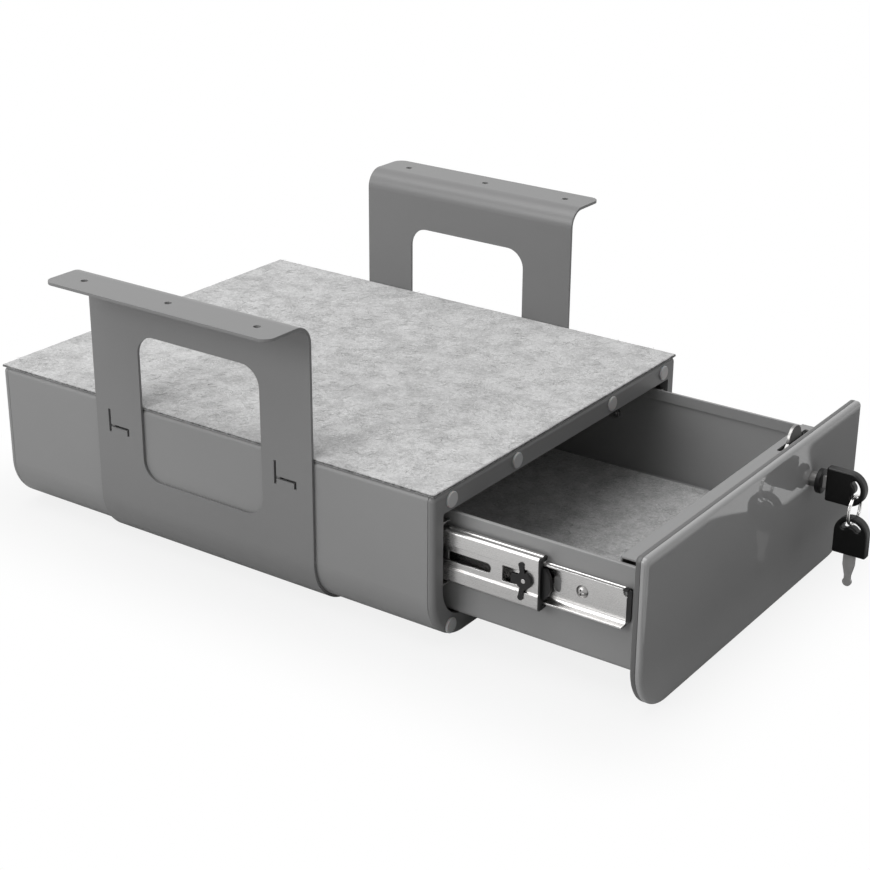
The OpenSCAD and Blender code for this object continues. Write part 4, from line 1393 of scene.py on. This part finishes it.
@dataclass
class Floor:
    """Pale floor that turns plain white away from the object and keeps its shadow beneath it.

    Attributes:
        radius: Its radius.
        sides: Number of its sides.
        gap: Gap between the object's lowest point and the floor.
        shaded: Half width and half length of the part that keeps the shadow.
        middle: Y of the middle of that part.
        clear: Distances from that part between which the floor turns plain white to the camera.
        shade: Share of white in that part, which leaves a pale shadow.
        matt: Its own grey, on the linear scale.
        dark: Grey of the part in front of the object in glossy surfaces, on the linear scale.
        front: Y between which that part begins.
        line: Y of the line past which it shows white in glossy surfaces again.
        blur: Half width of that line.
        swell: How far the line bends back towards the object.
        swell_rise: X between which it starts to bend.
        swell_fall: X between which it has bent back.
        beside: Distances from the middle between which the floor turns white in glossy surfaces.
        beside_end: Y between which it does so.
    """

    radius: float = 14.0
    sides: int = 128
    gap: float = 0.0006
    shaded: Pair = (0.16, 0.26)
    middle: float = -0.06
    clear: Pair = (0.0, 0.10)
    shade: float = 0.84
    matt: float = 0.52
    dark: float = 0.03
    front: Pair = (-0.34, -0.38)
    line: float = -0.446
    blur: float = 0.003
    swell: float = 0.034
    swell_rise: Pair = (0.125, 0.195)
    swell_fall: Pair = (0.315, 0.225)
    beside: Pair = (0.20, 0.32)
    beside_end: Pair = (-0.35, -0.30)

    def sheen(self, x: Wire, y: Wire) -> Wire:
        """Part that shows white in glossy surfaces: beside the object, and past a curved line.

        Args:
            x: Place along X.
            y: Place along Y.

        Returns:
            Share of white, from 0 to 1.
        """
        bent = x.steps(*self.swell_rise) * x.steps(*self.swell_fall)
        beyond = (bent * self.swell + self.line - y).steps(-self.blur, self.blur)
        return beyond.larger(x.size().steps(*self.beside) * y.steps(*self.beside_end))

    def material(self) -> bpy.types.Material:
        """Makes the material of the floor.

        Returns:
            The finished material.
        """
        tree = Tree("pale_floor")
        where = tree.wire("ShaderNodeTexCoord", output="Object")
        x, y = tree.wires("ShaderNodeSeparateXYZ", 0, 1, values={0: where})
        camera, glossy = tree.rays()
        across = (x.size() - self.shaded[0]).larger(0.0)
        along = ((y - self.middle).size() - self.shaded[1]).larger(0.0)
        away = (across * across + along * along).root()
        to_camera = away.steps(*self.clear) * (1 - self.shade) + self.shade
        sheen = self.sheen(x, y)
        share = (to_camera * camera).larger(sheen * glossy)
        before = y.steps(*self.front) * (1 - sheen) * glossy
        matt, dark = (
            tree.wire("ShaderNodeBsdfDiffuse", values={"Color": grey(level)})
            for level in (self.matt, self.dark))
        white = tree.wire("ShaderNodeEmission", values={"Color": WHITE, "Strength": 1.0})
        near = tree.wire("ShaderNodeMixShader", values={0: before, 1: matt, 2: dark})
        whole = tree.wire("ShaderNodeMixShader", values={0: share, 1: near, 2: white})
        tree.node("ShaderNodeOutputMaterial", values={"Surface": whole})
        return tree.material

    def build(self) -> None:
        """Lays the floor beneath the object."""
        disc = bmesh.new()
        bmesh.ops.create_circle(disc, cap_ends=True, segments=self.sides, radius=self.radius)
        bmesh.ops.translate(disc, verts=disc.verts, vec=(0, 0, CAD_BOX[0][2] - self.gap))
        mesh = taken_from(disc, "floor")
        mesh.materials.append(self.material())
        set_out("floor", mesh)


@dataclass(frozen=True)
class Lamp:
    """A soft rectangular lamp.

    Attributes:
        name: Its name.
        place: Its place.
        target: Point that it faces.
        size: Its width and height.
        watts: Its power.
    """

    name: str
    place: Point
    target: Point
    size: Pair
    watts: float

    def build(self) -> None:
        """Hangs the lamp, turned to its target."""
        data = bpy.data.lights.new(self.name, "AREA")
        data.shape = "RECTANGLE"
        data.size, data.size_y = self.size
        data.energy = self.watts
        lamp = set_out(self.name, data)
        lamp.location = self.place
        way = Vector(self.target) - Vector(self.place)
        lamp.rotation_euler = way.to_track_quat("-Z", "Y").to_euler()


@dataclass
class Camera:
    """Camera at the picture's angle.

    Attributes:
        azimuth: Its direction, in degrees.
        elevation: Its height above the horizon, in degrees.
        roll: Its roll, in degrees.
        place: Its place.
        lens: Focal length in millimetres on the usual sensor.
        shift: Shift of the picture.
        far: Distance up to which it sees.
    """

    azimuth: float = 56.94
    elevation: float = 22.88
    roll: float = 1.27
    place: Point = (-1.0174, -0.8052, 0.3981)
    lens: float = 77.2
    shift: Pair = (-0.0808, -0.0077)
    far: float = 60.0

    def build(self) -> None:
        """Sets up the camera."""
        azimuth, elevation, roll = (
            math.radians(angle) for angle in (self.azimuth, self.elevation, self.roll))
        back = Vector((
            -math.sin(azimuth) * math.cos(elevation), -math.cos(azimuth) * math.cos(elevation),
            math.sin(elevation)))
        level = Vector((math.cos(azimuth), -math.sin(azimuth), 0))
        upright = back.cross(level)
        right = level * math.cos(roll) + upright * math.sin(roll)
        above = upright * math.cos(roll) - level * math.sin(roll)
        turn = Matrix((right, above, back)).transposed()
        data = bpy.data.cameras.new("camera")
        data.lens = self.lens
        data.shift_x, data.shift_y = self.shift
        data.clip_end = self.far
        camera = set_out("camera", data)
        camera.matrix_world = Matrix.Translation(self.place) @ turn.to_4x4()
        bpy.context.scene.camera = camera


@dataclass
class Studio:
    """Camera, world, floor and lamps.

    Attributes:
        world_level: Level at which the world lights matt surfaces.
        lamps: A broad lamp above, a softer one from the left and a weak one in front.
    """

    world_level: float = 0.34
    lamps: tuple[Lamp, ...] = (
        Lamp("above", (-0.5, 0.4, 2.2), (0, 0, -0.1), (2.2, 2.2), 47),
        Lamp("left", (-2.1, 0.7, 0.95), (0, 0, -0.15), (1.6, 1.1), 25),
        Lamp("front", (0.9, -2.4, 0.7), (0, -0.2, -0.1), (1.2, 1.4), 2),
    )

    def world(self) -> None:
        """Sets up a world that is white to the camera and in reflections, and plainer for matt light."""
        world = bpy.data.worlds.new("studio")
        world.use_nodes = True
        tree = NodeTree(world.node_tree)
        camera, glossy = tree.rays()
        light = tree.wire("ShaderNodeBackground", values={
            "Color": WHITE, "Strength": camera.larger(glossy).larger(self.world_level)})
        tree.node("ShaderNodeOutputWorld", values={"Surface": light})
        bpy.context.scene.world = world

    def build(self) -> None:
        """Sets up the whole studio."""
        bpy.context.scene.view_settings.view_transform = "Standard"
        Camera().build()
        self.world()
        for stand in (Floor(), *self.lamps):
            stand.build()


def main() -> None:
    """Builds and dresses the object, group by group, on its stage."""
    Studio().build()
    for group in (Housing(), Brackets(), Slides(), Drawer(), LockAndKeys()):
        for name in group.build():
            LOG.info("%s: %s", type(group).__name__, name)


if __name__ == "__main__":
    logging.basicConfig(level=logging.INFO, format="%(message)s")
    main()
